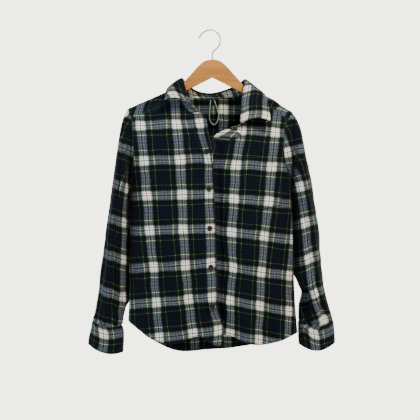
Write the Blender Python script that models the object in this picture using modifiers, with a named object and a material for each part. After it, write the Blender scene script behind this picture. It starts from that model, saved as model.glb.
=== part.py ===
"""A flannel shirt on a wooden hanger, built from the pieces a shirtmaker cuts and sews.

Frame: metres, +Z up, the shirt's front towards -Y, the wearer's right side towards -X.
The origin is the inside top of the hanger's hook, where the whole thing hangs.
Cloth is an open sheet of points given a wall outwards, so every hollow stays open.
"""

import math

import bmesh
import bpy
import numpy as np
from mathutils import Vector

for old in list(bpy.data.objects):
    bpy.data.objects.remove(old)

# ---------------------------------------------------------------- driving dimensions (metres)
CLOTH = 0.0016          # one layer of brushed flannel
BAND = 0.0012           # placket, pocket and facing strips laid on a panel
GAP = 0.0003            # clearance where two pieces meet
SEAM_STRIP = 0.0013     # last strip of a panel, which runs straight into its seam
SECTION_POWER = 2.6     # squareness of the body's cross-section
CREST_RADIUS = 0.0110   # how roundly the cloth passes over the hanger
CHEST_DROP = 0.16       # height over which the body reaches its full depth
UNDERARM_Z = -0.392
BACK_SEAM_Z = -0.262    # yoke seam across the back
OVERLAP_RECESS = 0.0052  # how far the left front lies under the right front
BUTTON_RADIUS = 0.0059
BUTTON_HEIGHT = 0.0026
WIRE_RADIUS = 0.0017
LOOP_RADIUS = 0.0014
WOOD_THICKNESS = 0.011
HANGER_X = 0.0035       # centre of the wooden hanger
LEAF_ROLL = 0.0028      # radius of the collar's roll over its stand
POCKET = {"left": 0.081, "right": 0.174, "top": -0.323, "bottom": -0.440, "point": 0.012}


def table(columns, *rows):
    """Rows of numbers as one array for each named column."""
    return dict(zip(columns.split(), np.array(rows, float).T))


def read(rows, key, name, at):
    """A smooth curve through one column of a table, read at values of its key column."""
    order = np.argsort(rows[key])
    x = rows[key][order]
    y = rows[name][order]
    at = np.clip(np.asarray(at, float), x[0], x[-1])
    slope = np.gradient(y, x)
    i = np.clip(np.searchsorted(x, at, side="right") - 1, 0, len(x) - 2)
    step = x[i + 1] - x[i]
    t = (at - x[i]) / step
    start = (1 + 2 * t) * (1 - t) ** 2 * y[i] + t * (1 - t) ** 2 * step * slope[i]
    end = t * t * (3 - 2 * t) * y[i + 1] + t * t * (t - 1) * step * slope[i + 1]
    return start + end


def ease(t):
    """0 below 0, 1 above 1, smooth between."""
    t = np.clip(t, 0.0, 1.0)
    return t * t * (3 - 2 * t)


def unit(vectors):
    """Rows of vectors at length one."""
    return vectors / np.maximum(np.linalg.norm(vectors, axis=-1, keepdims=True), 1e-12)


# ---------------------------------------------------------------- the body's form
# The line of the shoulders, over the hanger and out to the armholes.
SHOULDER = table(
    "x z",
    (-0.2350, -0.2125), (-0.2100, -0.1992), (-0.1615, -0.1785), (-0.1165, -0.1582),
    (-0.0845, -0.1402), (-0.0550, -0.1240), (0.0035, -0.1140), (0.0620, -0.1245),
    (0.0945, -0.1440), (0.1235, -0.1580), (0.1385, -0.1655), (0.1590, -0.1778),
    (0.1775, -0.1925), (0.2055, -0.2075), (0.2350, -0.2260),
)
# Cross-sections of the body: both side edges, and the depth of front and back.
TORSO = table(
    "z left right front back",
    (-0.100, -0.222, 0.222, 0.046, 0.042),
    (-0.220, -0.222, 0.220, 0.052, 0.046),
    (-0.300, -0.206, 0.203, 0.059, 0.052),
    (-0.392, -0.2015, 0.1995, 0.064, 0.056),
    (-0.480, -0.2025, 0.2040, 0.065, 0.057),
    (-0.580, -0.2040, 0.2065, 0.063, 0.056),
    (-0.680, -0.2050, 0.2105, 0.060, 0.055),
    (-0.780, -0.2105, 0.2180, 0.058, 0.056),
    (-0.840, -0.2130, 0.2200, 0.057, 0.056),
)
# Largest soft folds: where each starts and ends, its width and its height (minus is a trough).
FOLDS = table(
    "side x_top z_top x_low z_low width height",
    (-1, -0.120, -0.300, -0.150, -0.900, 0.020, -0.0045),
    (-1, -0.075, -0.420, -0.110, -0.950, 0.024, 0.0060),
    (-1, -0.040, -0.480, -0.055, -0.950, 0.018, -0.0050),
    (-1, 0.026, -0.360, 0.040, -0.800, 0.014, -0.0060),
    (-1, 0.060, -0.500, 0.066, -0.950, 0.018, -0.0065),
    (-1, 0.075, -0.280, 0.100, -0.950, 0.022, 0.0060),
    (-1, 0.135, -0.420, 0.142, -0.950, 0.020, -0.0050),
    (-1, 0.150, -0.250, 0.178, -0.900, 0.018, 0.0040),
    (1, -0.120, -0.270, -0.130, -0.950, 0.028, 0.0060),
    (1, -0.062, -0.300, -0.070, -0.950, 0.024, -0.0060),
    (1, -0.010, -0.290, -0.015, -0.950, 0.026, 0.0065),
    (1, 0.050, -0.300, 0.052, -0.950, 0.024, -0.0055),
    (1, 0.110, -0.270, 0.125, -0.950, 0.028, 0.0060),
)
# The front edge of the right front, which carries the placket; it twists near its foot.
PLACKET = table(
    "z left right bulge",
    (-0.2150, -0.0450, -0.0215, 0.000), (-0.2300, -0.0420, -0.0108, 0.000),
    (-0.2500, -0.0388, -0.0095, 0.000), (-0.2700, -0.0323, -0.0043, 0.000),
    (-0.2900, -0.0258, -0.0008, 0.000), (-0.3100, -0.0205, 0.0030, 0.001),
    (-0.4000, -0.0180, 0.0065, 0.000), (-0.5000, -0.0163, 0.0100, 0.001),
    (-0.6000, -0.0135, 0.0125, 0.002), (-0.6500, -0.0115, 0.0133, 0.006),
    (-0.6850, -0.0060, 0.0095, 0.004), (-0.7100, -0.0040, 0.0180, -0.004),
    (-0.7400, 0.0030, 0.0300, -0.001), (-0.7750, 0.0028, 0.0285, 0.003),
    (-0.8000, 0.0020, 0.0265, 0.004),
)
HEM_RIGHT = table(
    "x z",
    (-0.2120, -0.7270), (-0.1735, -0.7560), (-0.1455, -0.7760), (-0.1225, -0.7815),
    (-0.0950, -0.7885), (-0.0725, -0.7798), (-0.0475, -0.7715), (-0.0120, -0.7720),
    (0.0020, -0.7860), (0.0150, -0.7905), (0.0290, -0.7900),
)
HEM_LEFT = table(
    "x z",
    (-0.0200, -0.7650), (0.0150, -0.7680), (0.0410, -0.7640), (0.0785, -0.7800),
    (0.1110, -0.7890), (0.1438, -0.7870), (0.1765, -0.7790), (0.2210, -0.7600),
)
HEM_BACK = table(
    "x z",
    (-0.2120, -0.7270), (-0.1735, -0.7700), (-0.1363, -0.7960), (-0.1083, -0.8095),
    (0.0000, -0.8125), (0.0693, -0.8060), (0.1250, -0.7960), (0.1800, -0.7780),
    (0.2210, -0.7600),
)


def shoulder_z(x):
    return read(SHOULDER, "x", "z", x)


def fold_height(x, z, side):
    """Sum of the soft folds of one side of the body."""
    total = np.zeros(np.broadcast(x, z).shape)
    for row in range(len(FOLDS["side"])):
        fold = {name: column[row] for name, column in FOLDS.items()}
        if fold["side"] != side:
            continue
        t = (fold["z_top"] - z) / (fold["z_top"] - fold["z_low"])
        centre = fold["x_top"] + t * (fold["x_low"] - fold["x_top"])
        fade = ease(t / 0.35) * ease((1.05 - t) / 0.2)
        total = total + fold["height"] * fade * np.exp(-(((x - centre) / fold["width"]) ** 2))
    return total


def body_point(x, z, side):
    """A point of the body's inner surface; side is -1 on the front and 1 on the back."""
    x = np.asarray(x, float)
    z = np.asarray(z, float)
    left = read(TORSO, "z", "left", z)
    right = read(TORSO, "z", "right", z)
    across = np.clip((2 * x - left - right) / (right - left), -1.0, 1.0)
    round_off = (1 - np.abs(across) ** SECTION_POWER) ** (1 / SECTION_POWER)
    drop = np.maximum(shoulder_z(x) - z, 0.0)
    crest = np.sqrt(1 - (1 - np.minimum(drop / CREST_RADIUS, 1.0)) ** 2)
    swell = np.sin(math.pi / 2 * np.minimum(drop / CHEST_DROP, 1.0)) ** 1.3
    depth = read(TORSO, "z", "front" if side < 0 else "back", z)
    depth = CREST_RADIUS * crest + (depth - CREST_RADIUS) * swell
    depth = depth + fold_height(x, z, side) * swell
    if side < 0:
        bulge = read(PLACKET, "z", "bulge", np.clip(z, -0.8, -0.215))
        depth = depth + bulge * np.exp(-(((x - 0.005) / 0.03) ** 2)) * (z < -0.215)
    return np.stack([x + 0 * z, side * depth * round_off, z + 0 * x], axis=-1)


def under_front(points):
    """Moves the left front's points in, where it lies under the right front."""
    points = points.copy()
    edge = read(PLACKET, "z", "right", np.clip(points[..., 2], -0.8, -0.215))
    points[..., 1] += OVERLAP_RECESS * ease((edge + 0.040 - points[..., 0]) / 0.034)
    return points


# ---------------------------------------------------------------- the neck and collar
# Stations round the neck, from the right front's corner by the back to the left front's.
# drop is the seam's depth below the shoulder line (minus is on the back); fold is the top
# of the collar's roll, edge its outer edge, arch how far the leaf bows up between them.
NECK = table(
    "station x drop fold_x fold_y fold_z edge_x edge_y edge_z arch",
    (0, -0.0225, 0.0973, -0.0300, -0.0480, -0.2075, -0.100, -0.040, -0.205, 0.006),
    (1, -0.0455, 0.0920, -0.0520, -0.0490, -0.1850, -0.1140, -0.0360, -0.1810, 0.007),
    (2, -0.0625, 0.0730, -0.0580, -0.0400, -0.1690, -0.1135, -0.0280, -0.1690, 0.006),
    (3, -0.0760, 0.0450, -0.0640, -0.0260, -0.1470, -0.1120, -0.0180, -0.1550, 0.005),
    (4, -0.0845, 0.0000, -0.0700, -0.0030, -0.1235, -0.1090, 0.0020, -0.1480, 0.004),
    (5, -0.0760, -0.0260, -0.0590, 0.0280, -0.1345, -0.0950, 0.0440, -0.1660, 0.003),
    (6, -0.0440, -0.0530, -0.0320, 0.0490, -0.1560, -0.0560, 0.0670, -0.1970, 0.003),
    (7, 0.0035, -0.0640, 0.0035, 0.0550, -0.1615, 0.0035, 0.0730, -0.2060, 0.003),
    (8, 0.0510, -0.0530, 0.0390, 0.0490, -0.1500, 0.0630, 0.0670, -0.1940, 0.003),
    (9, 0.0860, -0.0260, 0.0680, 0.0290, -0.1345, 0.1080, 0.0440, -0.1700, 0.003),
    (10, 0.0945, 0.0000, 0.0830, -0.0020, -0.1260, 0.1300, 0.0030, -0.1555, 0.002),
    (11, 0.0930, 0.0450, 0.0800, -0.0300, -0.1560, 0.1400, -0.0280, -0.1790, 0.003),
    (12, 0.0880, 0.0780, 0.0745, -0.0480, -0.1900, 0.1440, -0.0400, -0.2070, 0.004),
    (13, 0.0760, 0.1100, 0.0720, -0.0660, -0.2370, 0.1465, -0.0540, -0.2340, 0.008),
    (14, 0.0470, 0.1320, 0.0510, -0.0600, -0.2450, 0.120, -0.055, -0.250, 0.006),
)
RIGHT_NECK = [3.4, 2.8, 2.2, 1.6, 1.0, 0.5, 0.0]
LEFT_NECK = [10.6, 11.2, 11.8, 12.4, 13.0, 13.5, 14.0]
YOKE_NECK = [3.4, 3.7, 3.85, 4.0, 4.15, 4.35, 4.7, 5.2, 5.8, 6.4, 7.0, 7.6, 8.2, 8.8, 9.3, 9.65,
             9.85, 10.0, 10.15, 10.3, 10.6]


def neck_seam(stations):
    """Points of the neckline at the given stations, on the body's surface."""
    x = read(NECK, "station", "x", stations)
    drop = read(NECK, "station", "drop", stations)
    z = shoulder_z(x) - np.abs(drop)
    front = body_point(x, z, -1)
    back = body_point(x, z, 1)
    return np.where((drop > 0)[:, None], front, back)


def neck_column(name, stations):
    return np.stack([read(NECK, "station", f"{name}_{axis}", stations) for axis in "xyz"], axis=-1)


# ---------------------------------------------------------------- sheets, seams and objects
parts = bpy.data.collections.new("flannel_shirt")
bpy.context.scene.collection.children.link(parts)


def material(name, colour, roughness, metallic=0.0):
    made = bpy.data.materials.new(name)
    made.use_nodes = True
    shader = made.node_tree.nodes["Principled BSDF"]
    shader.inputs["Base Color"].default_value = (*colour, 1.0)
    shader.inputs["Roughness"].default_value = roughness
    shader.inputs["Metallic"].default_value = metallic
    made.diffuse_color = (*colour, 1.0)
    return made


def add_object(name, mesh, look):
    made = bpy.data.objects.new(name, mesh)
    parts.objects.link(made)
    mesh.materials.append(look)
    return made


def sheet(name, points, look, wall=CLOTH, flip=False, tube=False):
    """A sheet of cloth through a grid of points, walled outwards; a tube joins its long edges."""
    rows, columns = points.shape[:2]
    if tube:
        points = np.concatenate([points, points[:, :1]], axis=1)
        columns += 1
    bm = bmesh.new()
    bmesh.ops.create_grid(bm, x_segments=columns - 1, y_segments=rows - 1, size=1.0)
    for vert in bm.verts:
        column = round((vert.co.x + 1) / 2 * (columns - 1))
        row = round((vert.co.y + 1) / 2 * (rows - 1))
        vert.co = Vector(points[row, column])
    if tube:
        bmesh.ops.remove_doubles(bm, verts=bm.verts, dist=1e-7)
    if flip:
        bmesh.ops.reverse_faces(bm, faces=bm.faces)
    mesh = bpy.data.meshes.new(name)
    bm.to_mesh(mesh)
    bm.free()
    made = add_object(name, mesh, look)
    solidify = made.modifiers.new("wall", "SOLIDIFY")
    solidify.thickness = wall
    solidify.offset = 1.0
    mesh.shade_smooth()
    return made


def seam_edge(points, pull, sideways=None):
    """Ends a grid's last column short of its seam, with one straight strip before the end."""
    edge = points[:, -1]
    inward = unit(points[:, -2] - edge) if sideways is None else -sideways
    strip = edge + inward * SEAM_STRIP
    end = edge + inward * np.reshape(pull, (-1, 1))
    return np.concatenate([points[:, :-1], strip[:, None], end[:, None]], axis=1)


def trimmed(points, left=None, right=None, top=None, bottom=None):
    """A panel's grid with the asked-for edges ended at their seams."""
    if right is not None:
        points = seam_edge(points, right)
    if left is not None:
        points = seam_edge(points[:, ::-1], left)[:, ::-1]
    if bottom is not None:
        points = seam_edge(points.swapaxes(0, 1), bottom).swapaxes(0, 1)
    if top is not None:
        points = seam_edge(points[::-1].swapaxes(0, 1), top).swapaxes(0, 1)[::-1]
    return points


def seam_shift(into, onward, outward):
    """How far a second sheet starts beyond the seam that a first one runs into.

    Where the two turn into a hollow, their walls would meet, so the second starts later."""
    turn = np.arctan2((onward * outward).sum(-1), (onward * into).sum(-1))
    turn = np.clip(turn, 0.0, math.radians(140))
    return GAP + CLOTH * np.maximum(np.sin(turn), np.tan(turn / 2) * (turn > math.pi / 2))


def across_seam(seam, inside):
    """Directions out of a panel across its seam, and the panel's outward normals there."""
    tangent = unit(np.gradient(seam, axis=0))
    into = seam - inside
    into = unit(into - (into * tangent).sum(-1, keepdims=True) * tangent)
    return into, unit(np.cross(into, tangent))


flannel = material("flannel", (0.055, 0.075, 0.11), 0.9)
flannel_light = material("flannel_placket", (0.28, 0.29, 0.31), 0.9)
cord_white = material("loop_cord", (0.62, 0.70, 0.58), 0.8)
horn = material("button_horn", (0.05, 0.035, 0.028), 0.35)
wood = material("hanger_wood", (0.56, 0.31, 0.12), 0.45)
steel = material("hook_steel", (0.62, 0.62, 0.60), 0.25, 1.0)

# ---------------------------------------------------------------- front panels
ARMHOLE = table(
    "z right_x left_x",
    (-0.2235, -0.2003, 0.1955), (-0.2500, -0.1970, 0.1850), (-0.2780, -0.1950, 0.1830),
    (-0.3050, -0.1935, 0.1825), (-0.3300, -0.1940, 0.1850), (-0.3530, -0.1960, 0.1895),
    (-0.3740, -0.1990, 0.1950), (UNDERARM_Z, -0.2015, 0.1995),
)
SIDE_Z = [-0.428, -0.466, -0.505, -0.545, -0.583, -0.618, -0.648, -0.674, -0.696, -0.712, -0.722]
# Rows of the two fronts down their inner edges, below the neckline, to the hem.
RIGHT_EDGE = table(
    "x z",
    (-0.0108, -0.2320), (-0.0065, -0.2620), (0.0030, -0.3100), (0.0052, -0.3620),
    (0.0072, -0.4200), (0.0096, -0.4850), (0.0113, -0.5500), (0.0127, -0.6100),
    (0.0133, -0.6550), (0.0100, -0.6880), (0.0200, -0.7150), (0.0300, -0.7420),
    (0.0265, -0.7900),
)
LEFT_EDGE = table(
    "x z",
    (0.0300, -0.2575), (0.0110, -0.2680), (-0.0020, -0.2900), (-0.0130, -0.3620),
    (-0.0145, -0.4200), (-0.0140, -0.4850), (-0.0120, -0.5500), (-0.0100, -0.6100),
    (-0.0090, -0.6550), (-0.0100, -0.6880), (-0.0080, -0.7150), (-0.0040, -0.7420),
    (-0.0050, -0.7650),
)
NECK_ROWS = 7           # rows of a front that start on the neckline
UNDERARM_ROW = 7
BAND_WIDTH = 0.024
FRONT_COLUMNS = 12      # columns outside the band along the inner edge


def front_panel(inner, outer, widths, hem, outer_limit):
    """A front from its inner and outer edge points, row by row, with a shaped hem.

    Its first three columns lie under the band of the given widths."""
    rows = len(inner)
    spread = np.sin(np.linspace(0, 1, FRONT_COLUMNS) * math.pi / 2 * 0.94)
    spread = spread / spread[-1]
    grid = []
    for row in range(rows):
        run = abs(outer[row, 0] - inner[row, 0])
        band = widths[row] / run
        across = np.concatenate([[0.0, band / 2], band + (1 - band) * spread])
        x = inner[row, 0] + (outer[row, 0] - inner[row, 0]) * across
        z = inner[row, 1] + (outer[row, 1] - inner[row, 1]) * across
        ends = shoulder_z(np.array([inner[row, 0], outer[row, 0]]))
        follow = 1 - ease(row / UNDERARM_ROW)
        z = z + follow * (shoulder_z(x) - ends[0] - (ends[1] - ends[0]) * across)
        low = max(0.0, (row - UNDERARM_ROW) / (rows - 1 - UNDERARM_ROW)) ** 1.5
        z = z + low * (read(hem, "x", "z", x) - inner[-1, 1] - (outer[-1, 1] - inner[-1, 1]) * across)
        grid.append(body_point(x, z, -1))
        if row >= UNDERARM_ROW:
            grid[-1][-1, 0] = read(TORSO, "z", outer_limit, z[-1])
            grid[-1][-1, 1] = 0.0
    return np.array(grid)


def side_column(side_name):
    """x and z of a side seam, from the underarm to the hem."""
    hem_z = HEM_BACK["z"][0] if side_name == "left" else HEM_BACK["z"][-1]
    z = np.array(SIDE_Z) if side_name == "left" else UNDERARM_Z + (
        np.array(SIDE_Z) - UNDERARM_Z) * (hem_z - UNDERARM_Z) / (-0.727 - UNDERARM_Z)
    z = np.append(z, hem_z)
    return np.stack([read(TORSO, "z", side_name, z), z], axis=-1)


right_inner = np.concatenate([
    neck_seam(RIGHT_NECK)[:, [0, 2]],
    np.stack([RIGHT_EDGE["x"], RIGHT_EDGE["z"]], axis=-1),
])
right_outer = np.concatenate([
    np.stack([ARMHOLE["right_x"], ARMHOLE["z"]], axis=-1), side_column("left")])
left_inner = np.concatenate([
    neck_seam(LEFT_NECK)[:, [0, 2]],
    np.stack([LEFT_EDGE["x"], LEFT_EDGE["z"]], axis=-1),
])
left_outer = np.concatenate([
    np.stack([ARMHOLE["left_x"], ARMHOLE["z"]], axis=-1), side_column("right")])
right_inner[-1, 1] = read(HEM_RIGHT, "x", "z", right_inner[-1, 0])
left_inner[-1, 1] = read(HEM_LEFT, "x", "z", left_inner[-1, 0])
placket_width = np.append(
    np.full(NECK_ROWS, 0.0195),
    RIGHT_EDGE["x"] - read(PLACKET, "z", "left", RIGHT_EDGE["z"]))
front_right = front_panel(right_inner, right_outer, placket_width, HEM_RIGHT, "left")
front_left = under_front(front_panel(
    left_inner, left_outer, np.full(len(left_inner), BAND_WIDTH), HEM_LEFT, "right"))

# ---------------------------------------------------------------- back and yoke
BACK_ARMHOLE = table(
    "z right_x left_x",
    (BACK_SEAM_Z, -0.1935, 0.1900), (-0.2950, -0.1920, 0.1880), (-0.3250, -0.1930, 0.1895),
    (-0.3520, -0.1955, 0.1930), (-0.3760, -0.1990, 0.1965), (UNDERARM_Z, -0.2015, 0.1995),
)
BACK_COLUMNS = 19
YOKE_SIDE = table(
    "drop right_x left_x",
    (-0.0720, -0.1935, 0.1900), (-0.0450, -0.1975, 0.1940), (-0.0200, -0.2040, 0.2000),
    (0.0000, -0.2085, 0.2035), (0.0140, -0.2050, 0.2000), (0.0280, -0.2003, 0.1955),
)
NECK_SPREAD = 0.132     # half the width of the yoke's back seam that lies under the neckline
YOKE_ROWS = [0.0, 0.28, 0.52, 0.74, 0.90, 0.97, 1.0, 1.15, 1.45, 2.0]

back_left_edge = np.concatenate([
    np.stack([BACK_ARMHOLE["right_x"], BACK_ARMHOLE["z"]], axis=-1), side_column("left")])
back_right_edge = np.concatenate([
    np.stack([BACK_ARMHOLE["left_x"], BACK_ARMHOLE["z"]], axis=-1), side_column("right")])


def back_panel():
    """The back, from the yoke seam to the hem and from side seam to side seam."""
    rows = len(back_left_edge)
    first_side = len(BACK_ARMHOLE["z"]) - 1
    across = (1 - np.cos(np.linspace(0, 1, BACK_COLUMNS) * math.pi)) / 2
    across = 0.35 * np.linspace(0, 1, BACK_COLUMNS) + 0.65 * across
    grid = []
    for row in range(rows):
        left, right = back_left_edge[row], back_right_edge[row]
        x = left[0] + (right[0] - left[0]) * across
        z = left[1] + (right[1] - left[1]) * across
        low = max(0.0, (row - first_side) / (rows - 1 - first_side)) ** 1.5
        z = z + low * (read(HEM_BACK, "x", "z", x) - z)
        grid.append(body_point(x, z, 1))
        if row >= first_side:
            for column, limit in ((0, "left"), (-1, "right")):
                grid[-1][column, 0] = read(TORSO, "z", limit, z[column])
                grid[-1][column, 1] = 0.0
    return np.array(grid)


def yoke_panel():
    """The yoke, from the back seam over the shoulders to the neckline and the front seams."""
    neck_x = read(NECK, "station", "x", YOKE_NECK)
    neck_drop = read(NECK, "station", "drop", YOKE_NECK)
    right_top, left_top = front_right[0][::-1], front_left[0]
    shoulders = [right_top[:-1], left_top[1:]]
    top_x = np.concatenate([shoulders[0][:, 0], neck_x, shoulders[1][:, 0]])
    drops = [shoulder_z(points[:, 0]) - points[:, 2] for points in shoulders]
    top_drop = np.concatenate([drops[0], neck_drop, drops[1]])
    seam_x = back[0][:, 0]
    base_x = np.concatenate([
        np.interp(shoulders[0][:, 0], [right_top[0, 0], neck_x[0]], [seam_x[0], -NECK_SPREAD]),
        np.interp(YOKE_NECK, [YOKE_NECK[0], 4.0, 7.0, 10.0, YOKE_NECK[-1]],
                  NECK_SPREAD * np.array([-1.0, -0.83, 0.03, 0.91, 1.03])),
        np.interp(shoulders[1][:, 0], [neck_x[-1], left_top[-1, 0]], [NECK_SPREAD, seam_x[-1]])])
    base_drop = -(shoulder_z(base_x) - BACK_SEAM_Z)
    behind = np.clip(-top_drop / 0.030, 0.0, 1.0) ** 1.3
    middle_drop = np.minimum(top_drop, 0.0) + (base_drop - top_drop) * 0.3 * behind
    middle_x = base_x + (top_x - base_x) * 0.7
    grid = []
    for step in YOKE_ROWS:
        if step <= 1:
            x = base_x + (middle_x - base_x) * step
            drop = base_drop + (middle_drop - base_drop) * step
        else:
            x = middle_x + (top_x - middle_x) * (step - 1)
            drop = middle_drop + (top_drop - middle_drop) * (step - 1)
        for column, side in ((0, "right_x"), (-1, "left_x")):
            x[column] = read(YOKE_SIDE, "drop", side, drop[column])
        z = shoulder_z(x) - np.abs(drop)
        front, rear = body_point(x, z, -1), body_point(x, z, 1)
        grid.append(np.where((drop > 0)[:, None], front, rear))
    grid[-1][:len(right_top)] = right_top
    grid[-1][-len(left_top):] = left_top
    return np.array(grid)


back = back_panel()
yoke = yoke_panel()

# ---------------------------------------------------------------- sleeves
# Sections from the armhole to the cuff seam: the outer and inner points of each ring, how far
# it reaches to front and back, and how much lower its front hangs than its back.
SLEEVE_RIGHT = table(
    "ring outer_x outer_z inner_x inner_z front back dip",
    (2, -0.2140, -0.2085, -0.2085, -0.3910, 0.030, 0.034, 0.000),
    (3, -0.2190, -0.2180, -0.2090, -0.3945, 0.032, 0.037, 0.000),
    (4, -0.2235, -0.2330, -0.2093, -0.3980, 0.040, 0.042, 0.000),
    (5, -0.2280, -0.2560, -0.2093, -0.4030, 0.049, 0.048, 0.000),
    (6, -0.2325, -0.2880, -0.2093, -0.4095, 0.056, 0.054, 0.000),
    (7, -0.2385, -0.3280, -0.2092, -0.4190, 0.060, 0.058, 0.000),
    (8, -0.2445, -0.3720, -0.2090, -0.4330, 0.061, 0.060, 0.000),
    (9, -0.2520, -0.4210, -0.2090, -0.4550, 0.059, 0.059, 0.001),
    (10, -0.2590, -0.4690, -0.2092, -0.4860, 0.055, 0.056, 0.002),
    (11, -0.2650, -0.5150, -0.2095, -0.5240, 0.052, 0.053, 0.003),
    (12, -0.2705, -0.5590, -0.2098, -0.5660, 0.049, 0.050, 0.004),
    (13, -0.2757, -0.6000, -0.2103, -0.6070, 0.047, 0.047, 0.005),
    (14, -0.2810, -0.6380, -0.2118, -0.6460, 0.044, 0.045, 0.006),
    (15, -0.2862, -0.6740, -0.2150, -0.6830, 0.040, 0.042, 0.007),
    (16, -0.2912, -0.7030, -0.2215, -0.7140, 0.035, 0.037, 0.008),
    (17, -0.2950, -0.7230, -0.2270, -0.7350, 0.032, 0.033, 0.008),
    (18, -0.2972, -0.7315, -0.2292, -0.7440, 0.029, 0.030, 0.008),
)
SLEEVE_LEFT = table(
    "ring outer_x outer_z inner_x inner_z front back dip",
    (2, 0.2080, -0.2140, 0.2065, -0.3905, 0.033, 0.034, 0.000),
    (3, 0.2135, -0.2215, 0.2070, -0.3940, 0.032, 0.036, 0.000),
    (4, 0.2195, -0.2330, 0.2075, -0.3975, 0.037, 0.041, 0.000),
    (5, 0.2270, -0.2540, 0.2080, -0.4025, 0.047, 0.047, 0.000),
    (6, 0.2330, -0.2860, 0.2085, -0.4090, 0.055, 0.053, 0.000),
    (7, 0.2400, -0.3260, 0.2090, -0.4185, 0.060, 0.057, 0.000),
    (8, 0.2485, -0.3700, 0.2095, -0.4325, 0.061, 0.060, 0.000),
    (9, 0.2570, -0.4190, 0.2100, -0.4545, 0.059, 0.059, 0.001),
    (10, 0.2645, -0.4670, 0.2105, -0.4860, 0.056, 0.056, 0.002),
    (11, 0.2700, -0.5130, 0.2112, -0.5240, 0.053, 0.052, 0.003),
    (12, 0.2735, -0.5560, 0.2122, -0.5660, 0.052, 0.048, 0.004),
    (13, 0.2775, -0.5970, 0.2140, -0.6050, 0.052, 0.044, 0.005),
    (14, 0.2820, -0.6340, 0.2195, -0.6360, 0.050, 0.040, 0.007),
    (15, 0.2885, -0.6640, 0.2290, -0.6610, 0.044, 0.038, 0.009),
    (16, 0.2960, -0.6950, 0.2235, -0.6930, 0.040, 0.038, 0.012),
    (17, 0.3030, -0.7200, 0.2235, -0.7220, 0.036, 0.036, 0.013),
    (18, 0.3055, -0.7300, 0.2235, -0.7340, 0.031, 0.032, 0.014),
)
# Long creases of the sleeves: angle round the tube from its outer side, in degrees, at the
# first and last ring of the crease; its width in degrees and depth (minus stands out).
CREASES = table(
    "body ring_a ring_b angle_a angle_b width depth",
    (-1, 6.0, 17.5, 72, 112, 15, 0.0095),
    (-1, 8.5, 16.5, 38, 42, 12, 0.0040),
    (-1, 7.0, 17.0, -95, -120, 20, 0.0080),
    (-1, 9.0, 17.5, -50, -40, 14, 0.0050),
    (1, 8.5, 17.5, 100, 56, 14, 0.0095),
    (1, 14.0, 19.5, 135, 130, 30, 0.0100),
    (1, 7.0, 17.0, -90, -115, 20, 0.0080),
    (1, 10.0, 17.5, -45, -50, 14, 0.0050),
)
PLEATS = 7              # small pleats where a sleeve is gathered into its cuff
PLEAT_DEPTH = 0.0018
CUFF_RIGHT = table(
    "ring outer_x outer_z inner_x inner_z front back dip",
    (0, -0.2972, -0.7315, -0.2292, -0.7440, 0.0290, 0.0300, 0.008),
    (1, -0.3020, -0.7500, -0.2235, -0.7640, 0.0275, 0.0280, 0.009),
    (2, -0.3065, -0.7710, -0.2225, -0.7880, 0.0255, 0.0260, 0.010),
    (3, -0.3098, -0.7905, -0.2250, -0.8120, 0.0245, 0.0245, 0.011),
)
CUFF_LEFT = table(
    "ring outer_x outer_z inner_x inner_z front back dip",
    (0, 0.3055, -0.7300, 0.2235, -0.7340, 0.0310, 0.0320, 0.014),
    (1, 0.3090, -0.7480, 0.2240, -0.7520, 0.0290, 0.0300, 0.015),
    (2, 0.3112, -0.7670, 0.2248, -0.7720, 0.0265, 0.0280, 0.016),
    (3, 0.3115, -0.7860, 0.2260, -0.7920, 0.0250, 0.0260, 0.017),
)
CUFF_LAP = 3            # steps by which a cuff's ends lap over each other
CUFF_OPENING = {-1: math.radians(-118), 1: math.radians(-122)}


def ring_points(sections, ring, angles):
    """Points round one section; angle 0 is its outer side, 90 degrees its front."""
    outer, inner = (np.array([read(sections, "ring", f"{end}_x", ring), 0.0,
                              read(sections, "ring", f"{end}_z", ring)])
                    for end in ("outer", "inner"))
    front, rear, dip = (float(read(sections, "ring", name, ring)) for name in ("front", "back", "dip"))
    cos, sin = np.cos(angles), np.sin(angles)
    points = (outer + inner) / 2 + cos[:, None] * (outer - inner) / 2
    depth = np.where(sin > 0, front, rear)
    points[:, 1] -= depth * np.sign(sin) * np.abs(sin) ** 0.92
    points[:, 2] -= dip * np.sign(sin) * sin ** 2
    return points


def crease_depth(ring, angles, body):
    """How far the long creases push a sleeve's points in towards its middle."""
    total = np.zeros(len(angles))
    for row in range(len(CREASES["body"])):
        crease = {name: column[row] for name, column in CREASES.items()}
        if crease["body"] != body:
            continue
        t = (ring - crease["ring_a"]) / (crease["ring_b"] - crease["ring_a"])
        centre = math.radians(crease["angle_a"] + t * (crease["angle_b"] - crease["angle_a"]))
        fade = ease(t / 0.25) * ease((1.0 - t) / 0.2)
        off = np.angle(np.exp(1j * (angles - centre))) / math.radians(crease["width"])
        total = total + crease["depth"] * fade * np.exp(-off ** 2)
    return total


def armhole_loop(front, over, rear, body):
    """The armhole's points from the underarm up the front and down the back, with the
    direction out of the panels and the panels' normals."""
    column = -1 if body < 0 or front is front_left else 0
    side = 0 if body < 0 else -1
    edges = (
        (front[:8, column][::-1], front[:8, column - 1][::-1]),
        (over[::-1, side], over[::-1, 1 if side == 0 else -2]),
        (rear[:6, side], rear[:6, 1 if side == 0 else -2]),
    )
    seam = np.concatenate([edges[0][0], edges[1][0][1:], edges[2][0][1:-1]])
    inside = np.concatenate([edges[0][1], edges[1][1][1:], edges[2][1][1:-1]])
    tangent = unit(np.roll(seam, -1, axis=0) - np.roll(seam, 1, axis=0))
    out = seam - inside
    out[0] = (0.0, 0.0, 1.0)
    out = unit(out - (out * tangent).sum(-1, keepdims=True) * tangent)
    return seam, out, unit(np.cross(out, tangent)) * body


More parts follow.
